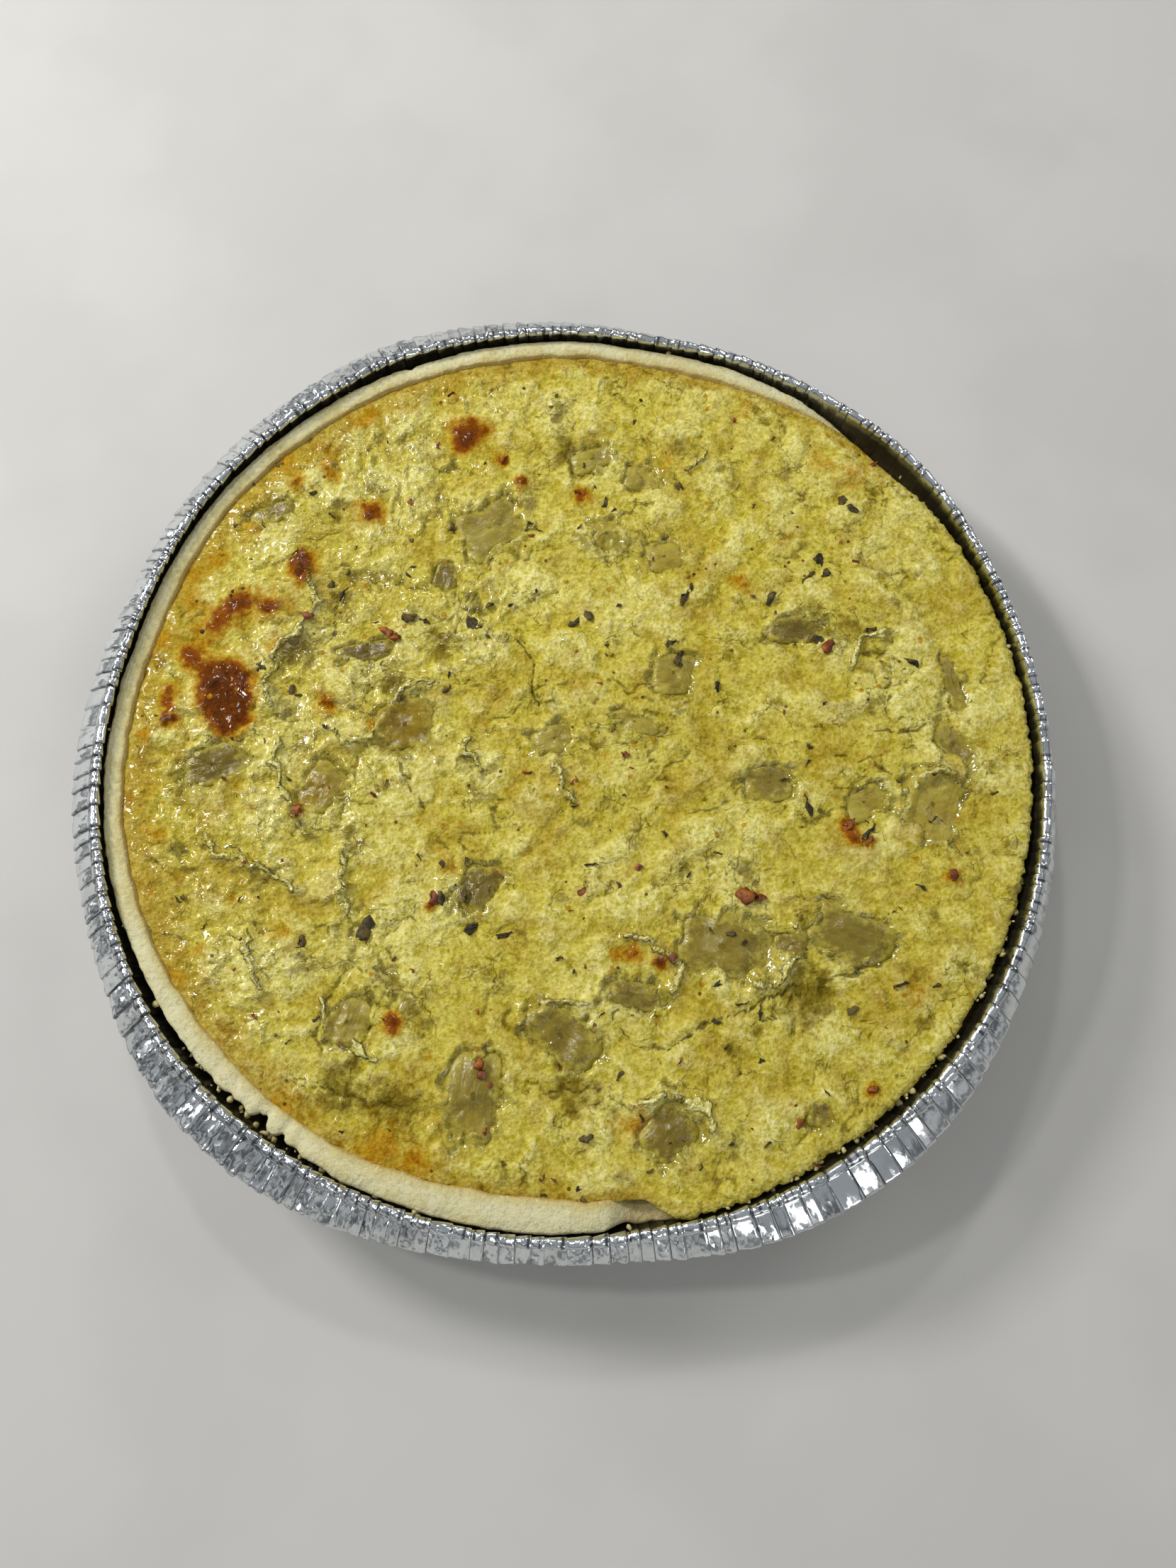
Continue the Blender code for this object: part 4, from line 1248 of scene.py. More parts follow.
@dataclass(frozen=True)
class FoilFinish:
    """Soft aluminium foil, rolled bright and pressed: a mirror broken up by fine crinkles."""

    metal: str = "e4e8ea"
    dull: str = "b4b8b9"
    # Stain: an olive brown for the inner wall, a painted reflection of the pastry with painted shade,
    # varied by a noise.
    stain: str = "564d2c"
    # Painted shade in the sharp folds of the pleats and in the nips of the bead.
    crease: str = "3e4042"
    # The radius at which the foil is unrolled for its pattern, and the flat facets between its
    # crinkles: size in mm and how far they tip the light.
    unrolled_at: float = 95.0
    facets: tuple[tuple[float, float], ...] = ((1.5, 0.42), (0.7, 0.38))

    def make(self) -> Material:
        """Build the material.

        Returns:
            The new material.
        """
        material, tree, shader, place = new_material("pressed aluminium foil")
        spot = {
            name: add_node(tree, "ShaderNodeAttribute", {"attribute_name": name}).outputs["Fac"]
            for name in ("inside", "crease", "along", "tip", "roll", "crumpled")
        }
        cloud = add_node(
            tree, "ShaderNodeTexNoise", {},
            {"Vector": place, "Scale": per_metre(7.0), "Detail": 4.0, "Roughness": 0.6},
        ).outputs[0]
        flat = add_node(
            tree, "ShaderNodeVectorMath", {"operation": "MULTIPLY"}, {0: place, 1: (1.0, 1.0, 0.0)},
        ).outputs[0]
        outward = add_node(
            tree, "ShaderNodeVectorMath", {"operation": "NORMALIZE"}, {0: flat},
        ).outputs[0]
        around = add_node(
            tree, "ShaderNodeVectorMath", {"operation": "CROSS_PRODUCT"},
            {0: (0.0, 0.0, 1.0), 1: outward},
        ).outputs[0]
        normal = add_node(tree, "ShaderNodeNewGeometry").outputs["Normal"]
        for axis, amount in ((outward, spot["tip"]), (around, spot["roll"])):
            lean = add_node(
                tree, "ShaderNodeVectorMath", {"operation": "SCALE"}, {0: axis, 3: amount},
            ).outputs[0]
            normal = add_node(
                tree, "ShaderNodeVectorMath", {"operation": "ADD"}, {0: normal, 1: lean},
            ).outputs[0]
        rise = add_node(
            tree, "ShaderNodeCombineXYZ", {}, {0: 0.0, 1: 0.0, 2: spot["along"]},
        ).outputs[0]
        unrolled = add_node(
            tree, "ShaderNodeVectorMath", {"operation": "MULTIPLY_ADD"},
            {0: outward, 1: (self.unrolled_at,) * 3, 2: rise},
        ).outputs[0]
        for size, strength in self.facets:
            facet = add_node(
                tree, "ShaderNodeTexVoronoi", {}, {"Vector": unrolled, "Scale": 1.0 / size},
            ).outputs["Color"]
            centred = add_node(
                tree, "ShaderNodeVectorMath", {"operation": "SUBTRACT"},
                {0: facet, 1: (0.5, 0.5, 0.5)},
            ).outputs[0]
            some = add_node(
                tree, "ShaderNodeMath", {"operation": "MULTIPLY"}, {0: spot["crumpled"], 1: strength},
            ).outputs[0]
            lean = add_node(
                tree, "ShaderNodeVectorMath", {"operation": "SCALE"}, {0: centred, 3: some},
            ).outputs[0]
            normal = add_node(
                tree, "ShaderNodeVectorMath", {"operation": "ADD"}, {0: normal, 1: lean},
            ).outputs[0]
        faceted = add_node(
            tree, "ShaderNodeVectorMath", {"operation": "NORMALIZE"}, {0: normal},
        ).outputs[0]
        # Painted reflection and shade on the inner wall: olive brown where the wall faces the pastry,
        # varied by a noise.
        inner_wall_painted_light = add_node(
            tree, "ShaderNodeMath", {"operation": "MULTIPLY_ADD"},
            {0: cloud, 1: 0.5, 2: spot["inside"]},
        ).outputs[0]
        colour = colour_stack(tree, self.metal, (
            (self.dull, cloud, 0.45, 0.65, 0.35),
            (self.stain, inner_wall_painted_light, 0.5, 1.1, 0.9),
            (self.crease, spot["crease"], 0.25, 0.8, 0.85),
        ))
        rough = add_node(
            tree, "ShaderNodeMath", {"operation": "MULTIPLY_ADD"},
            {0: spot["inside"], 1: 0.2, 2: 0.19},
        ).outputs[0]
        bump = add_node(
            tree, "ShaderNodeBump", {},
            {"Height": cloud, "Strength": 0.3, "Distance": 0.0006, "Normal": faceted},
        ).outputs[0]
        feed(tree, shader, {
            "Base Color": colour, "Roughness": rough, "Normal": bump, "Metallic": 1.0,
        })
        return material


@dataclass(frozen=True)
class BitFinish:
    """A small dry or browned bit with a little change of shade from one to the next."""

    name: str
    shade: str
    light: str
    roughness: float

    def make(self) -> Material:
        """Build the material.

        Returns:
            The new material.
        """
        material, tree, shader, place = new_material(self.name)
        change = add_node(
            tree, "ShaderNodeTexNoise", {},
            {"Vector": place, "Scale": per_metre(3.0), "Detail": 5.0, "Roughness": 0.7},
        ).outputs[0]
        bump = add_node(
            tree, "ShaderNodeBump", {}, {"Height": change, "Strength": 0.6, "Distance": 0.0003},
        ).outputs[0]
        colour = colour_stack(tree, self.shade, ((self.light, change, 0.42, 0.62, 1.0),))
        feed(tree, shader, {"Base Color": colour, "Normal": bump, "Roughness": self.roughness})
        return material


@dataclass
class Filling:
    """The baked filling: an open skin of fine grid, sides down into the case, and a flat base."""

    plan: TartPlan
    skin: FillingSkin
    finish: CustardFinish = field(default_factory=CustardFinish)
    rings: int = 148
    floor: float = 5.5
    floor_radius: float = 76.0
    # The rows of its side: share of the way down to its foot, and inset from the skin's edge.
    side: tuple[tuple[float, float], ...] = ((0.35, -0.12), (0.75, 0.1), (1.0, 0.7))
    # The foot's height inside the rim, and its gap above the low rim.
    foot: float = 21.4
    foot_gap: float = 0.1
    # Where its side meets the case's sloping wall: radius, gap inside the rim and height.
    waist: tuple[float, float, float] = (85.5, 0.9, 17.9)
    # The torn edge where no pastry holds it: how coarse it is and how far out it may reach.
    tear_size: float = 2.6
    tear_most: float = 0.85
    overlap: float = 0.25
    # How far the very edge turns down where it is loose and where it is held.
    turned_down: tuple[float, float] = (0.45, 0.35)

    def build(self) -> None:
        """Make the filling in place of its plain solid."""
        maker = MeshMaker()
        count = self.rings
        steps = np.arange(-count, count + 1) / count
        across, up = np.meshgrid(steps, steps, indexing="ij")
        wide = np.abs(across) > np.abs(up)
        reach = np.where(wide, across, up)
        safe = np.where(reach == 0.0, 1.0, reach)
        turn = np.where(
            wide, math.pi / 4 * up / safe, math.pi / 2 - math.pi / 4 * across / safe,
        )
        unit_x, unit_y = reach * np.cos(turn), reach * np.sin(turn)
        angle = np.degrees(np.arctan2(unit_y, unit_x)) % 360.0
        share = np.hypot(unit_x, unit_y)
        radius = share * self.edge_radius(angle)
        x, y = radius * np.cos(np.radians(angle)), radius * np.sin(np.radians(angle))
        height = self.skin.height(x, y) - self.rolled(angle, share)
        numbers = maker.add_points(self.plan.place(x, y, height))
        maker.skin(numbers.T, closed=False)
        border = np.concatenate([
            numbers[:-1, 0], numbers[-1, :-1], numbers[:0:-1, -1], numbers[0, :0:-1],
        ])
        flat_angle = angle.ravel()[border]
        edge = radius.ravel()[border]
        rows = [border]
        top = height.ravel()[border]
        held = self.plan.filling_held(flat_angle)
        foot = mix(self.plan.crust_low + self.foot_gap, self.foot, held)
        for drop, inset in self.side:
            level = mix(top, foot, drop)
            rows.append(maker.add_points(self.plan.turned(flat_angle, edge - inset, level)))
        most, gap, waist_height = self.waist
        inner = np.minimum(most, self.plan.rim_inside(flat_angle) - gap)
        rows.append(maker.add_points(self.plan.turned(flat_angle, inner, waist_height)))
        rows.append(maker.add_points(self.plan.turned(flat_angle, self.floor_radius, self.floor)))
        maker.skin(np.stack(rows[::-1]))
        maker.fan(rows[-1], self.plan.place(0.0, 0.0, self.floor), flipped=True)
        marks = self.skin.markings(x, y)
        piece = maker.finish("baked_filling", self.finish.make(), marks)
        dress(piece, ("filling",))

    def edge_radius(self, angle: Values) -> Values:
        """Tear the filling's edge where no pastry holds it.

        Args:
            angle: Angles.

        Returns:
            The edge's radius at each angle.
        """
        held = self.plan.filling_held(angle)
        turn = np.radians(angle)
        x, y = self.plan.crust * np.cos(turn), self.plan.crust * np.sin(turn)
        torn = 0.5 + 0.5 * self.skin.fine.layered(x, y, self.tear_size, 3, 0.8)
        reach = (1.0 - held) * np.minimum(torn, self.tear_most)
        return self.plan.filling_radius(angle) + reach + self.overlap * held

    def rolled(self, angle: Values, share: Values) -> Values:
        """Turn the skin down at its very edge.

        Args:
            angle: Angles.
            share: How far out each place is, 1 at the edge.

        Returns:
            How far each place sinks.
        """
        loose = 1.0 - self.plan.filling_held(angle)
        when_loose, when_held = self.turned_down
        sunk = loose * when_loose * ramp(share, 0.988, 1.0)
        return sunk + when_held * (1.0 - loose) * ramp(share, 0.98, 1.0)


@dataclass
class OnionPieces:
    """The soft pieces of onion, each lying in a pocket of the filling's skin."""

    plan: TartPlan
    skin: FillingSkin
    finish: OnionFinish = field(default_factory=OnionFinish)
    columns: int = 40
    rings: int = 9
    # How far a piece lies below the skin, the rise of its dome, the drop of its edge and its depth.
    sunk: float = 0.45
    dome: float = 0.25
    edge_drop: float = 0.5
    depth: float = 1.5
    # The height and size of the bumps on it, and how much smaller its underside is.
    unevenness: float = 0.16
    bump_size: float = 3.4
    undercut: float = 0.92

    def build(self) -> None:
        """Make every piece in place of its plain solid."""
        material = self.finish.make()
        for cut in ONIONS:
            self.build_one(cut, material)

    def build_one(self, cut: OnionCut, material: Material) -> None:
        """Make one piece: a low dome with a soft rounded edge over a flat underside.

        Args:
            cut: The piece.
            material: The onion's material.
        """
        maker = MeshMaker()
        turn = np.linspace(0.0, math.tau, self.columns, endpoint=False)
        reach = cut.edge(turn)
        share = np.linspace(0.08, 1.0, self.rings)[:, None]
        along = share * reach * np.cos(turn) * cut.length / 2
        side = share * reach * np.sin(turn) * cut.width / 2
        angle = math.radians(cut.turn)
        x = cut.x + along * math.cos(angle) - side * math.sin(angle)
        y = cut.y + along * math.sin(angle) + side * math.cos(angle)
        dome = self.dome * (1.0 - share**2) - self.edge_drop * ramp(share, 0.78, 1.0)
        bumps = self.skin.fine.layered(x + 50.0 + cut.number, y, self.bump_size, 2)
        skin = self.skin.height(x, y, open_pockets=False)
        top = skin - self.sunk + dome + self.unevenness * bumps
        under = float(skin.min()) - self.depth
        numbers = maker.add_points(self.plan.place(x, y, top))
        low_x = self.undercut * (x[-1] - cut.x) + cut.x
        low_y = self.undercut * (y[-1] - cut.y) + cut.y
        low = maker.add_points(self.plan.place(low_x, low_y, under))
        middle = self.plan.place(cut.x, cut.y, float(top[0].mean()) + 0.01)
        maker.skin(np.concatenate([low[None, :], numbers[::-1]]))
        maker.fan(numbers[0], middle)
        maker.fan(low, self.plan.place(cut.x, cut.y, under), flipped=True)
        flat = np.ones(top.size)
        fields = {
            "golden": cut.golden * flat, "dark": 0.8 * cut.dark * flat, "hidden": cut.hidden * flat,
            "rim": (share * np.ones_like(x)).ravel(),
            "along": 0.16 * along.ravel() + 3.0 * cut.number, "side": 0.75 * side.ravel(),
        }
        piece = maker.finish(f"soft_onion_{cut.number:02d}", material, fields)
        dress(piece, (f"onion_piece_{cut.number:02d}",))


@dataclass
class PastryCase:
    """The shortcrust case: a tapered wall with a rounded rim, broken in one place on the left."""

    plan: TartPlan
    finish: PastryFinish = field(default_factory=PastryFinish)
    columns: int = 900
    ring: float = 90.0
    floor: float = 5.0
    floor_radius: float = 77.0
    foot: tuple[tuple[float, float], ...] = ((78.5, 0.0), (80.6, 0.6))
    wall_levels: tuple[float, ...] = (3.0, 8.0, 13.0, 18.0)
    wall_gap: float = 1.1
    # How far the rim stands outside and above the plain solid's.
    proud: float = 0.3
    raised: float = 0.4
    # Bites out of the rim: angle, half width in degrees and depth. About one angle it is ragged.
    bites: tuple[tuple[float, float, float], ...] = (
        (224.5, 0.8, 0.5), (227.4, 0.7, 0.7), (229.6, 0.7, 0.6), (231.6, 0.5, 1.5),
        (232.6, 0.6, 1.9), (235.4, 0.5, 1.5), (237.6, 0.8, 0.6), (241.0, 1.2, 0.4),
        (112.0, 0.6, 0.5), (276.5, 1.4, 0.9),
    )
    ragged: tuple[float, float] = (229.0, 8.0)
    # The rim's rounded outer corner: drop below the top and inset.
    corner: tuple[tuple[float, float], ...] = (
        (3.2, 0.05), (2.2, 0.0), (1.4, 0.02), (0.8, 0.06), (0.42, 0.13), (0.2, 0.22), (0.07, 0.34),
    )
    corner_width: float = 2.2
    # Its nearly flat top: share of the way in and drop.
    brow: tuple[tuple[float, float], ...] = (
        (0.4, 0.0), (0.55, 0.0), (0.7, 0.03), (0.85, 0.10), (0.95, 0.2),
    )

    def build(self) -> None:
        """Make the case in place of its plain solid."""
        plan, maker, grain = self.plan, MeshMaker(), Grain(21)
        angle = np.arange(self.columns) * 360.0 / self.columns
        x, y = self.ring * np.cos(np.radians(angle)), self.ring * np.sin(np.radians(angle))
        section = self.section(angle, x, y, grain)
        corner_starts = len(self.foot) + len(self.wall_levels) - 1
        inside_starts = len(section) - 4
        rows = []
        for level, (radius, height) in enumerate(section):
            rough = 0.0
            if corner_starts < level < inside_starts + 2:
                rough = 0.12 * grain.layered(x + 13.0 * level, y, 1.6, 2)
            radius = radius + 0.0 * angle
            rows.append(maker.add_points(plan.turned(angle, radius, height + rough + 0.0 * angle)))
        maker.skin(np.stack(rows))
        maker.fan(rows[0], plan.place(0.0, 0.0, plan.foil + plan.fit_gap), flipped=True)
        maker.fan(rows[-1], plan.place(0.0, 0.0, self.floor))
        outer_rows, top_rows = corner_starts + 1 + len(self.corner), len(self.brow) + 1
        inward = np.concatenate([
            np.zeros(outer_rows), np.linspace(0.0, 1.0, top_rows),
            np.ones(len(section) - outer_rows - top_rows),
        ])
        fields = {
            "inner": np.repeat(inward, self.columns),
            "low": np.tile(1.0 - plan.rim_shown(angle), len(section)),
        }
        piece = maker.finish("shortcrust_case", self.finish.make(), fields)
        dress(piece, ("pastry_case",))

    def section(self, angle: np.ndarray, x: np.ndarray, y: np.ndarray, grain: Grain) -> list:
        """Shape the case from its foot, over the rim and down to its floor.

        Args:
            angle: Angles.
            x: Places across of a ring under the rim.
            y: Places up of that ring.
            grain: The fine unevenness of the rim.

        Returns:
            For each level its radii and its heights.
        """
        plan, lumps = self.plan, Grain(22)
        bite = np.zeros(self.columns)
        for middle, width, depth in self.bites:
            gap = (angle - middle + 180.0) % 360.0 - 180.0
            bite += depth * np.exp(-((gap / width) ** 2))
        outer = plan.crust_radius(angle) + self.proud + 0.22 * lumps.layered(x, y, 9.0) - bite
        ragged = np.exp(-(((angle - self.ragged[0]) / self.ragged[1]) ** 2))
        outer += (0.14 + 0.3 * ragged) * grain.layered(x, y, 1.8, 2)
        shown = plan.rim_shown(angle)
        top = mix(plan.crust_low, plan.crust_top + self.raised, shown)
        top += 0.2 * lumps.layered(x + 200, y, 12.0)
        top -= 0.35 * bite * shown
        inner = plan.rim_inside(angle) + 0.4 * lumps.layered(x + 90, y, 7.0)
        width = outer - inner
        under = plan.foil + plan.fit_gap
        section = [(radius, under + rise) for radius, rise in self.foot]
        for height in self.wall_levels:
            wall = plan.wall_radius(angle, height) - self.wall_gap
            section.append((np.minimum(wall, outer) if height > 15.0 else wall, height))
        for drop, inset in self.corner:
            section.append((outer - inset * np.minimum(width, self.corner_width), top - drop))
        for share, drop in self.brow:
            section.append((outer - share * width, top - drop))
        return section + [
            (inner, top - 0.4), (inner - 0.25, top - 1.4),
            (np.minimum(85.9, inner - 0.4), 17.6), (self.floor_radius, self.floor),
        ]


@dataclass
class FoilTray:
    """The tray: thin foil drawn into a round, its spare edge gathered in small sharp pleats."""

    plan: TartPlan
    finish: FoilFinish = field(default_factory=FoilFinish)
    seed: int = 7
    ring: float = 95.0
    thickness: float = 0.25
    # The least and the most width of a pleat, and where points lie across one, as shares of it.
    pleat_spacing: tuple[float, float] = (2.0, 4.4)
    across_pleat: tuple[float, ...] = (0.0, 0.06, 0.22, 0.42, 0.62, 0.8, 0.93)
    # How far each pleat's face is tipped in and out, and rolled round the edge.
    tip: tuple[float, float] = (-0.34, 0.12)
    roll: tuple[float, float] = (-0.18, 0.18)
    # Where the foil is badly crumpled: angle, half width in degrees and how much more.
    crumpled: tuple[tuple[float, float, float], ...] = (
        (228.0, 26.0, 1.1), (95.0, 50.0, 0.5), (270.0, 18.0, 0.5),
    )
    wall_levels: tuple[float, ...] = (1.0, 2.4, 4.5, 7.0, 10.0, 13.0, 16.0, 19.0, 21.5, 23.5, 25.0)
    # The bead that is rolled along the ridge, and the nips in it.
    bead_height: float = 0.55
    bead_half_width: float = 0.85
    bead_turns: tuple[float, ...] = (0, 35, 70, 100, 130, 165, 200)
    nip_height: float = 0.15
    nip_spacing: float = 1.9
    # The strip that leans out from the ridge: distances down it, its bulge, and the hem's steps.
    strip_steps: tuple[float, ...] = (1.5, 2.1, 2.8, 3.6, 4.4, 5.2, 6.0, 6.6, 7.2, 7.7)
    strip_bulge: float = 0.35
    hem_steps: tuple[tuple[float, float], ...] = ((0.1, 0.45), (-0.1, 0.95), (-0.6, 1.15))

    def pleats(self) -> list[float]:
        """Space the pleats unevenly round the edge.

        Returns:
            The angles of their sharp edges.
        """
        dice = random.Random(self.seed)
        angles, here = [], 0.0
        while here < 360.0 - 1.0:
            angles.append(here)
            here += math.degrees(dice.uniform(*self.pleat_spacing) / self.plan.ridge)
        return angles

    def columns(self) -> np.ndarray:
        """Set columns of points across every pleat.

        Returns:
            For each column its angle, share of the pleat, strength of the pleat, tip and roll.
        """
        starts = self.pleats()
        ends = [*starts[1:], 360.0]
        dice = random.Random(self.seed + 1)
        rows = []
        for start, end in zip(starts, ends):
            strength = dice.uniform(0.35, 1.0)
            tip, roll = dice.uniform(*self.tip), dice.uniform(*self.roll)
            rows += [(mix(start, end, step), step, strength, tip, roll) for step in self.across_pleat]
        return np.array(rows).T

    def section(self, angle: np.ndarray, nips: np.ndarray) -> list:
        """Shape the foil from its base, up the wall, over the ridge and down the strip.

        Args:
            angle: The columns' angles.
            nips: How far each column of the bead is nipped up or down.

        Returns:
            For each level its radii, its heights, the depth of the pleats and the crumpling.
        """
        plan = self.plan
        flat = 0.0 * angle
        lean = np.radians(plan.shifted(plan.lean, angle, plan.lean_shifts))
        ridge = plan.ridge_radius(angle)
        line = [(0.985 * plan.base_radius - 1.0 + flat, plan.foil / 2 + flat, 0.0, 0.0)]
        for height in self.wall_levels:
            pleated = 0.15 + 0.85 * height / plan.tray_height
            line.append((
                plan.wall_radius(angle, height), height + flat, 0.6 * pleated, 0.10 * pleated,
            ))
        top = plan.tray_height - 0.12
        middle = ridge + 0.05 + 0.45 * np.cos(np.radians(angle))
        for turn in np.radians(self.bead_turns):
            line.append((
                middle - self.bead_half_width * math.cos(turn),
                top - self.bead_height + (self.bead_height + nips) * math.sin(turn), 0.5, 0.05,
            ))
        for along in self.strip_steps:
            bulge = self.strip_bulge * math.sin(math.pi * (along - 1.0) / 6.8)
            line.append((
                ridge + along * np.cos(lean) + bulge * np.sin(lean),
                plan.tray_height - 0.55 - along * np.sin(lean) + bulge * np.cos(lean),
                0.5, 0.06 + 0.05 * max(along - 2.0, 0.0),
            ))
        last_radius, last_height = line[-1][0], line[-1][1]
        for out, drop in self.hem_steps:
            line.append((last_radius + out, last_height - drop, 0.4, 0.26))
        return line

    def build(self) -> None:
        """Make the tray in place of its plain solid."""
        plan = self.plan
        angle, share, strength, tip, roll = self.columns()
        turn = np.radians(angle)
        ring_x, ring_y = self.ring * np.cos(turn), self.ring * np.sin(turn)
        soft, crumple, tiny = Grain(31), Grain(32), Grain(33)
        wild = plan.shifted(0.2, angle, self.crumpled)
        calm = wild * (0.6 + 0.4 * ramp(soft.at(ring_x, ring_y, 16.0), -0.35, 0.25))
        phase = math.tau * plan.ridge_radius(angle) * turn / self.nip_spacing
        nips = self.nip_height * np.sin(phase + 3.0 * soft.at(ring_x, ring_y, 9.0))
        line = self.section(angle, nips)
        middle_r = np.stack([row[0] for row in line])
        middle_h = np.stack([row[1] for row in line])
        saw = (share - 0.5) * strength + 0.4 * share * (1.0 - share)
        fold = np.array([row[2] for row in line])[:, None] * saw[None, :]
        rough = np.array([row[3] for row in line])[:, None]
        spread = np.cumsum(np.hypot(np.diff(middle_r, axis=0, prepend=middle_r[:1]),
                                    np.diff(middle_h, axis=0, prepend=middle_h[:1])), axis=0)
        wave_x = ring_x[None, :] + 0.9 * spread
        wave_y = ring_y[None, :] - 0.7 * spread
        crinkle = crumple.at(wave_x, wave_y, 2.4) + 0.7 * tiny.at(wave_x, wave_y, 1.3)
        push = fold + rough * crinkle * calm[None, :]
        run_r, run_h = np.gradient(middle_r, axis=0), np.gradient(middle_h, axis=0)
        length = np.maximum(np.hypot(run_r, run_h), 1e-6)
        normal_r, normal_h = -run_h / length, run_r / length
        maker = MeshMaker()
        shells = []
        for side in (-1.0, 1.0):
            radius = middle_r + normal_r * (push + side * self.thickness / 2)
            height = middle_h + normal_h * (push + side * self.thickness / 2)
            height[0] = plan.foil / 2 * (1.0 + side)
            shells.append(maker.add_points(plan.turned(angle[None, :], radius, height)))
        outside, inside = shells
        maker.skin(np.concatenate([outside, inside[::-1]]))
        maker.fan(outside[0], plan.place(0.0, 0.0, 0.0), flipped=True)
        maker.fan(inside[0], plan.place(0.0, 0.0, plan.foil))
        rows = len(line)
        bead_starts = 1 + len(self.wall_levels)
        bead = slice(bead_starts, bead_starts + len(self.bead_turns))
        # Painted shade along the sharp edges of the pleats and in the bead's nips.
        sharp = np.where(share < 0.01, 1.0, np.where(share > 0.9, 0.55, 0.0)) * strength
        creased = np.tile(sharp, (rows, 1))
        creased[bead] = np.maximum(creased[bead], np.clip(-nips / self.nip_height, 0.0, 1.0) ** 3)
        walls = np.zeros(middle_r.shape)
        walls[:bead_starts - 1] = 1.0
        walls[bead_starts - 1:bead_starts + 1] = 0.5
        fields = {
            "inside": np.concatenate([0.0 * walls.ravel(), walls.ravel()]),
            "crease": np.tile(creased, (2, 1)).ravel(),
            "along": np.tile(0.4 * spread, (2, 1)).ravel(),
            "tip": np.tile(tip, 2 * rows),
            "roll": np.tile(roll, 2 * rows),
            "crumpled": np.tile(np.minimum(0.15 + 0.85 * calm, 1.0), 2 * rows),
        }
        piece = maker.finish("crimped_foil_tray", self.finish.make(), fields)
        dress(piece, ("foil_tray",))


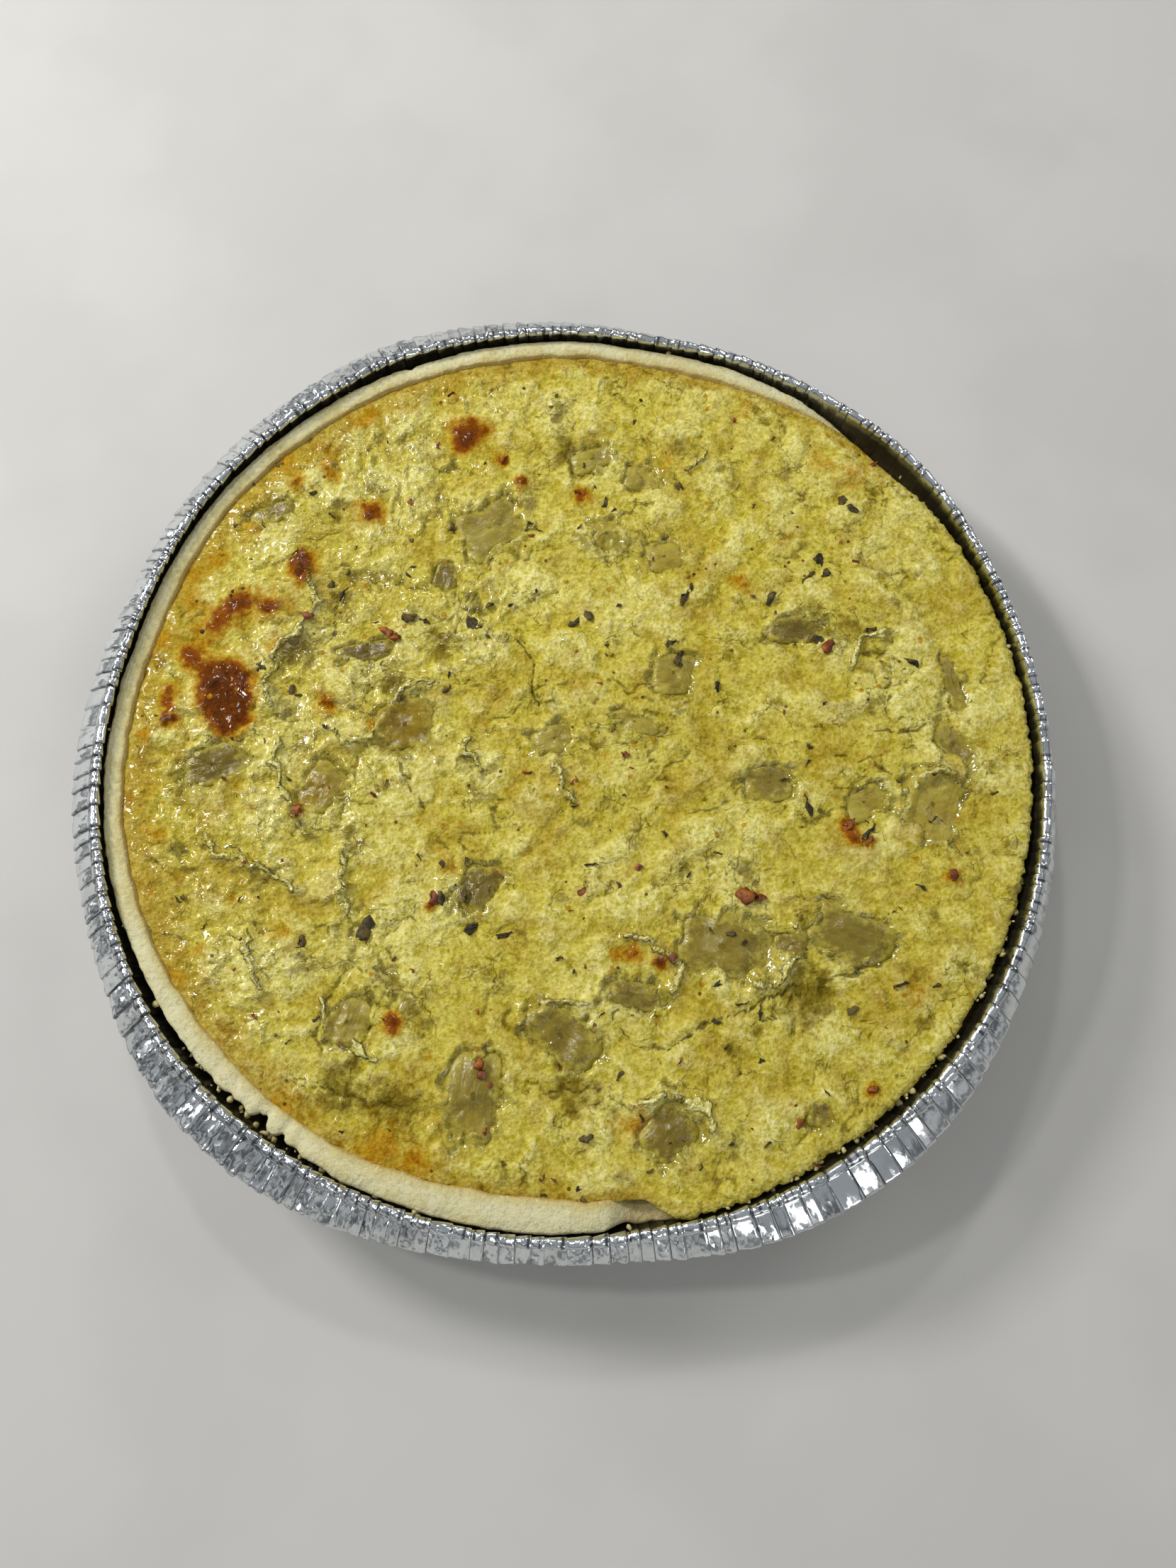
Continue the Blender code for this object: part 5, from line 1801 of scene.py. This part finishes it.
@dataclass(frozen=True)
class Scatter:
    """Small bits of one kind, set on points with Geometry Nodes.

    Each point carries a size in mm and a turn. The tree puts a rounded block on every point, makes
    the blocks one mesh and then pushes its points about, so that no two bits are alike.
    """

    name: str
    slot: Slot
    proportions: tuple[float, float, float]
    unevenness: float
    spread: float
    detail: int = 1

    def build(
        self, points: np.ndarray, sizes: np.ndarray, turns: np.ndarray, material: Material,
    ) -> None:
        """Make the bits.

        Args:
            points: Their places, in metres.
            sizes: Their lengths, in millimetres.
            turns: Their turns and tilts about x, y and z, in radians.
            material: Their material.
        """
        mesh = bpy.data.meshes.new(self.name)
        mesh.vertices.add(len(points))
        mesh.vertices.foreach_set("co", points.astype(np.float32).ravel())
        mesh.attributes.new("bit_size", "FLOAT", "POINT").data.foreach_set(
            "value", sizes.astype(np.float32))
        mesh.attributes.new("bit_turn", "FLOAT_VECTOR", "POINT").data.foreach_set(
            "vector", turns.astype(np.float32).ravel())
        carrier = bpy.data.objects.new(self.name, mesh)
        bpy.context.scene.collection.objects.link(carrier)
        tree = self.tree(material)
        modifier = carrier.modifiers.new("scatter", "NODES")
        modifier.node_group = tree
        values = {
            "Size": MM, "Flatness": self.proportions, "Unevenness": self.unevenness * MM,
            "Lump size": self.spread,
        }
        for item in tree.interface.items_tree:
            if item.item_type == "SOCKET" and item.in_out == "INPUT" and item.name in values:
                modifier[item.identifier] = values[item.name]
        bpy.context.view_layer.update()
        graph = bpy.context.evaluated_depsgraph_get()
        result = bpy.data.meshes.new_from_object(carrier.evaluated_get(graph))
        carrier.modifiers.remove(modifier)
        carrier.data = result
        result.name = self.name
        result.shade_smooth()
        dress(carrier)

    def tree(self, material: Material) -> Tree:
        """Build the node tree.

        Args:
            material: The material that the bits get.

        Returns:
            The new tree.
        """
        tree = bpy.data.node_groups.new(f"scatter {self.name}", "GeometryNodeTree")
        tree.interface.new_socket("Geometry", in_out="INPUT", socket_type="NodeSocketGeometry")
        for name, kind in (
            ("Size", "NodeSocketFloat"), ("Flatness", "NodeSocketVector"),
            ("Unevenness", "NodeSocketFloat"), ("Lump size", "NodeSocketFloat"),
        ):
            tree.interface.new_socket(name, in_out="INPUT", socket_type=kind)
        tree.interface.new_socket("Geometry", in_out="OUTPUT", socket_type="NodeSocketGeometry")
        given = add_node(tree, "NodeGroupInput").outputs
        size = add_node(
            tree, "GeometryNodeInputNamedAttribute", {"data_type": "FLOAT"}, {"Name": "bit_size"},
        ).outputs[0]
        turn = add_node(
            tree, "GeometryNodeInputNamedAttribute", {"data_type": "FLOAT_VECTOR"},
            {"Name": "bit_turn"},
        ).outputs[0]
        block = add_node(
            tree, "GeometryNodeMeshIcoSphere", {}, {"Radius": 0.5, "Subdivisions": self.detail},
        ).outputs[0]
        shaped = add_node(
            tree, "GeometryNodeTransform", {}, {"Geometry": block, "Scale": given["Flatness"]},
        ).outputs[0]
        scale = add_node(
            tree, "ShaderNodeMath", {"operation": "MULTIPLY"}, {0: size, 1: given["Size"]},
        ).outputs[0]
        rotation = add_node(tree, "FunctionNodeEulerToRotation", {}, {0: turn}).outputs[0]
        placed = add_node(
            tree, "GeometryNodeInstanceOnPoints", {},
            {"Points": given["Geometry"], "Instance": shaped, "Rotation": rotation, "Scale": scale},
        ).outputs[0]
        real = add_node(tree, "GeometryNodeRealizeInstances", {}, {0: placed}).outputs[0]
        noise = add_node(
            tree, "ShaderNodeTexNoise", {}, {"Scale": given["Lump size"], "Detail": 2.0},
        ).outputs["Color"]
        centred = add_node(
            tree, "ShaderNodeVectorMath", {"operation": "SUBTRACT"}, {0: noise, 1: (0.5, 0.5, 0.5)},
        ).outputs[0]
        push = add_node(
            tree, "ShaderNodeVectorMath", {"operation": "SCALE"},
            {0: centred, 3: given["Unevenness"]},
        ).outputs[0]
        moved = add_node(
            tree, "GeometryNodeSetPosition", {}, {"Geometry": real, "Offset": push},
        ).outputs[0]
        dressed = add_node(
            tree, "GeometryNodeSetMaterial", {}, {"Geometry": moved, "Material": material},
        ).outputs[0]
        add_node(tree, "NodeGroupOutput", {}, {0: dressed})
        return tree


# Dried herb leaves that can be told apart: x, y, length in mm and turn.
HERBS: Spots = (
    (-25.5, 78.9, 1.9, 10), (-69.2, 47.2, 2.2, 20), (-66.6, 57.8, 1.7, 80), (-61.3, 61.6, 1.6, 70),
    (-53.9, 55.1, 1.7, 30), (7.8, 52.8, 2.4, 75), (9, 51, 2, 20), (2.3, 47.2, 1.2, 0),
    (-6.1, 46.7, 2, -60), (-24.2, 47.2, 1.6, 70), (-32.7, 44.8, 1.4, 60), (23.3, 56.9, 2.6, 65),
    (58.1, 52.8, 3, -50), (59.5, 51, 2.6, -20), (52.2, 39.6, 3.6, 110), (53.4, 36.6, 2.4, 60),
    (23.8, 31, 3.2, 55), (25, 33, 2, 40), (-32.2, 26.6, 3.2, 15), (-29.4, 26, 2.2, -20),
    (-15.7, 29.6, 2.2, 50), (-16.6, 22.6, 1.8, 0), (-19, 25, 4.6, -50), (1.3, 26.1, 4.2, 15),
    (4, 27.2, 2.8, -30), (41.7, 30.8, 3, 55), (50.9, 21.9, 3, 10), (48.3, -0.7, 1.8, 0),
    (43.1, -7.4, 1.6, 20), (-38.2, -37.3, 5.2, 60), (-50.7, -39.7, 3.2, 80), (-19.7, -31, 2.4, 80),
    (-17.7, -37, 3.6, 35), (-12.4, -38.5, 1.8, 30), (31.1, -38.5, 2.2, 0), (28.5, -47.7, 2.6, 40),
    (-47, -54, 2.2, 20), (10, -64.3, 2, 75), (4, -75.6, 2.8, 20), (3.1, -85.9, 1.6, 0),
    (-40.9, -74.5, 1.6, 10), (30.3, -76.9, 1.8, 50), (53.6, -52.3, 2, 25), (-24.1, 10.9, 2, 15),
    (-24.2, -24.6, 1.6, 60), (-49, 34, 2.2, 70), (-48, 3, 1.6, 20), (36, -62, 1.8, 60),
    (70, -48, 2, 30), (-62, 16, 3, 80), (-24, -31.5, 2.6, 90), (-56, 11, 2.4, 70),
)
# Thin herb stalks: x, y, length in mm and turn.
STALKS: Spots = (
    (-19, 25, 6, -52), (22.6, 18, 4.6, 75), (21, 21, 3, 60), (-12.4, -38.2, 3.4, 20),
    (-17.6, -36.6, 3.8, 35), (35, -31.5, 3.6, 5), (58.5, -18.5, 5, 60), (47.6, -13, 4.4, -70),
    (63, -48, 3.6, 25), (36.6, -53, 3.4, 75), (33, -51, 3, 20), (68, -29, 2.6, -30),
    (50, 36, 4, 40), (-8, 47.5, 3, 50), (-46, 32, 3.6, 60), (62, 24, 3.4, 10), (70, 17, 4.2, -40),
    (-35, -8, 3, 60), (30, 12, 3, 80), (5, -25, 2.6, 10),
)
# Bits of carrot-orange and red-brown baked cheese and spice: x, y, length and turn.
BAKED_BITS: Spots = (
    (-37, 23.5, 3.4, -30), (-35, 22.5, 2.4, 20), (-14, 63, 2.2, 70), (2, 55.4, 1.8, 0),
    (25.5, 36, 2, 40), (-8, -6.5, 1.6, 10), (1.4, -8, 1.4, 50), (-52.6, -14.2, 2.6, 60),
    (-25.4, -31.4, 3.2, 80), (53, 20.4, 3.4, 60), (34.6, -31, 4.2, 0), (37.2, -31.2, 2.2, 20),
    (54.9, -16.9, 3, 60), (58.8, -20.4, 2.4, 70), (14, -25.6, 1.6, 0), (3, -30, 1.8, 20),
    (65, 62, 2.2, 80), (11.4, -2.4, 1.8, 30), (46, -80, 1.6, 0), (-16, -62, 2.6, 85),
    (-15.8, -64, 1.8, 60), (20, -43.5, 2.2, 40), (74.9, -26.6, 2.8, 60), (56.7, -66.9, 2, 20),
    (43, -73, 1.8, 80), (-53, 27, 1.6, 0), (-28, 66, 1.6, 60), (-4, -82, 1.6, 30),
)


@dataclass
class Toppings:
    """The herbs and baked bits on the skin, and the crumbs in the tray's gap."""

    plan: TartPlan
    skin: FillingSkin
    seed: int = 41
    # How far out the small bits lie, and how far any bit may tilt, in radians.
    reach: float = 86.0
    tilt: float = 0.25
    # The crumbs: how many, their heaps as angle and spread in degrees, heights and sizes.
    crumbs: int = 120
    crumb_heaps: tuple[tuple[float, float], ...] = ((316.0, 16.0), (232.0, 6.0))
    crumb_levels: tuple[float, float] = (21.2, 23.6)
    crumb_sizes: tuple[float, float] = (0.4, 1.7)

    def build(self) -> None:
        """Make all the scattered bits."""
        herb = BitFinish("dried crumbled herb leaf", "2c2408", "66521c", 0.7).make()
        baked = BitFinish("browned cheese and spice", "5e2402", "a35a06", 0.6).make()
        crumb = BitFinish("shortcrust crumbs", "cfc48e", "b9aa66", 0.75).make()
        rng = np.random.default_rng(self.seed)
        self.on_skin("herb_flecks", herb, HERBS, rng, 85, (0.5, 1.5), (1.0, 0.5, 0.2), 0.08)
        self.on_skin("herb_stalks", herb, STALKS, rng, 45, (1.0, 2.4), (1.0, 0.16, 0.12), 0.1)
        self.on_skin("baked_bits", baked, BAKED_BITS, rng, 60, (0.5, 1.3), (1.0, 0.62, 0.3), 0.06)
        self.crumbs_in_gap(crumb, rng)

    def on_skin(
        self, name: str, material: Material, rows: Spots, rng: np.random.Generator, extra: int,
        lengths: tuple[float, float], proportions: tuple[float, float, float], rise: float,
    ) -> None:
        """Set bits on the filling's skin.

        Args:
            name: The piece's name.
            material: Its material.
            rows: The bits listed one by one.
            rng: The random draw.
            extra: How many small ones are added at random.
            lengths: The least and the most length of those, in mm.
            proportions: Length, width and thickness of a bit.
            rise: Height of a bit's middle above the skin, in mm.
        """
        radius = self.reach * np.sqrt(rng.random(extra))
        angle = rng.uniform(0.0, math.tau, extra)
        by_hand = np.array(rows)
        x = np.concatenate([by_hand[:, 0], radius * np.cos(angle)])
        y = np.concatenate([by_hand[:, 1], radius * np.sin(angle)])
        size = np.concatenate([by_hand[:, 2], rng.uniform(*lengths, extra)])
        turn = np.concatenate([np.radians(by_hand[:, 3]), rng.uniform(0.0, math.tau, extra)])
        _, pocket = self.skin.windows(x, y)
        top = self.skin.height(x, y) + self.skin.pocket_depth * pocket + rise
        tilts = [rng.uniform(-self.tilt, self.tilt, len(x)) for _ in range(2)]
        turns = np.stack([*tilts, turn], -1)
        scatter = Scatter(name, Slot.FILLING, proportions, 3.2, 700.0, 2)
        scatter.build(self.plan.place(x, y, top), size, turns, material)

    def crumbs_in_gap(self, material: Material, rng: np.random.Generator) -> None:
        """Drop crumbs of pastry between the tart and the foil, most of them at the front right.

        Args:
            material: Their material.
            rng: The random draw.
        """
        count = self.crumbs
        front, broken = self.crumb_heaps
        angle = np.concatenate([
            rng.normal(*front, count // 2), rng.normal(*broken, count // 5),
            rng.uniform(0.0, 360.0, count - count // 2 - count // 5),
        ]) % 360.0
        outer = self.plan.crust_radius(angle)
        wall = self.plan.wall_radius(angle, self.plan.shoulder_height)
        radius = mix(outer + 0.1, wall - 0.5, rng.random(count))
        level = rng.uniform(*self.crumb_levels, count)
        size = rng.uniform(*self.crumb_sizes, count)
        turns = rng.uniform(0.0, math.tau, (count, 3))
        scatter = Scatter("pastry_crumbs", Slot.PASTRY, (1.0, 0.8, 0.7), 0.8, 1400.0, 2)
        scatter.build(self.plan.turned(angle, radius, level), size, turns, material)


@dataclass(frozen=True)
class Studio:
    """A pale floor, soft studio light and a camera where the photograph was taken."""

    floor_reach: float = 3.0
    # For each lamp its name, its place and size in metres, and its power in watts. They stand at
    # the back left, fill from the right and the front, and add small glints.
    lamps: tuple = (
        ("left key", (-0.52, 0.34, 0.50), 0.15, 3.5),
        ("right fill", (0.50, 0.40, 0.55), 0.25, 0.8),
        ("front fill", (0.25, -0.62, 0.45), 0.30, 0.8),
        ("left glint lamp", (-0.40, 0.10, 0.56), 0.05, 0.8),
        ("back glint lamp", (-0.12, 0.48, 0.60), 0.05, 0.8),
    )
    # The plain room round it: its walls at the foot, and each colour's start and full height.
    room_foot: str = "8e9093"
    room: tuple = (
        ("ffffff", 0.06, 0.26, 1.0), ("62666b", 0.34, 0.52, 0.95), ("d4d8dc", 0.58, 0.86, 1.0),
    )
    room_light: float = 0.46
    sensor_width: float = 36.0
    lens: float = 27.03
    nearest: float = 0.01
    camera_place: tuple[float, float, float] = (0.00445, -0.06968, 0.24788)
    camera_tilt: float = 15.11

    def build(self) -> None:
        """Make the floor, the lights, the surroundings and the camera."""
        self.floor()
        self.lights()
        self.surroundings()
        self.camera()
        bpy.context.scene.view_settings.view_transform = "Standard"

    def floor(self) -> None:
        """A wide pale floor at the tray's underside."""
        mesh = bpy.data.meshes.new("floor")
        reach = self.floor_reach
        corners = [(reach * x, reach * y, 0.0) for x, y in ((-1, -1), (1, -1), (1, 1), (-1, 1))]
        mesh.from_pydata(corners, [], [(0, 1, 2, 3)])
        material, tree, shader, place = new_material("matt painted studio floor")
        cloud = add_node(
            tree, "ShaderNodeTexNoise", {},
            {"Vector": place, "Scale": per_metre(60.0), "Detail": 3.0},
        ).outputs[0]
        colour = colour_stack(tree, "c9c7c2", (("c4c2bd", cloud, 0.4, 0.6, 1.0),))
        feed(tree, shader, {"Base Color": colour, "Roughness": 0.8})
        mesh.materials.append(material)
        floor = bpy.data.objects.new("floor", mesh)
        bpy.context.scene.collection.objects.link(floor)

    def lights(self) -> None:
        """Set up the lamps, each turned to the tart."""
        for name, place, size, power in self.lamps:
            data = bpy.data.lights.new(name, "AREA")
            data.size = size
            data.energy = power
            lamp = bpy.data.objects.new(name, data)
            lamp.location = place
            lamp.rotation_euler = (-Vector(place)).to_track_quat("-Z", "Y").to_euler()
            bpy.context.scene.collection.objects.link(lamp)

    def surroundings(self) -> None:
        """A plain room: a bright band of light low down, a darker one, and a bright ceiling."""
        world = bpy.data.worlds.new("studio")
        world.use_nodes = True
        tree = world.node_tree
        background = tree.nodes["Background"]
        place = add_node(tree, "ShaderNodeTexCoord").outputs["Generated"]
        height = add_node(tree, "ShaderNodeSeparateXYZ", {}, {0: place}).outputs[2]
        layers = tuple((colour, height, start, full, most) for colour, start, full, most in self.room)
        colour = colour_stack(tree, self.room_foot, layers)
        feed(tree, background, {"Color": colour, "Strength": self.room_light})
        bpy.context.scene.world = world

    def camera(self) -> None:
        """The photograph's view, from the front and high above."""
        data = bpy.data.cameras.new("photo camera")
        data.sensor_width = self.sensor_width
        data.lens = self.lens
        data.clip_start = self.nearest
        camera = bpy.data.objects.new("photo camera", data)
        camera.location = self.camera_place
        camera.rotation_euler = (math.radians(self.camera_tilt), 0.0, 0.0)
        bpy.context.scene.collection.objects.link(camera)
        bpy.context.scene.camera = camera


def main() -> None:
    """Load the frame, dress it piece by piece, light it and note its size."""
    logging.basicConfig(level=logging.INFO, format="%(name)s: %(message)s")
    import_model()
    plan = TartPlan()
    skin = FillingSkin(plan)
    Studio().build()
    FoilTray(plan).build()
    PastryCase(plan).build()
    Filling(plan, skin).build()
    OnionPieces(plan, skin).build()
    Toppings(plan, skin).build()


if __name__ == "__main__":
    main()
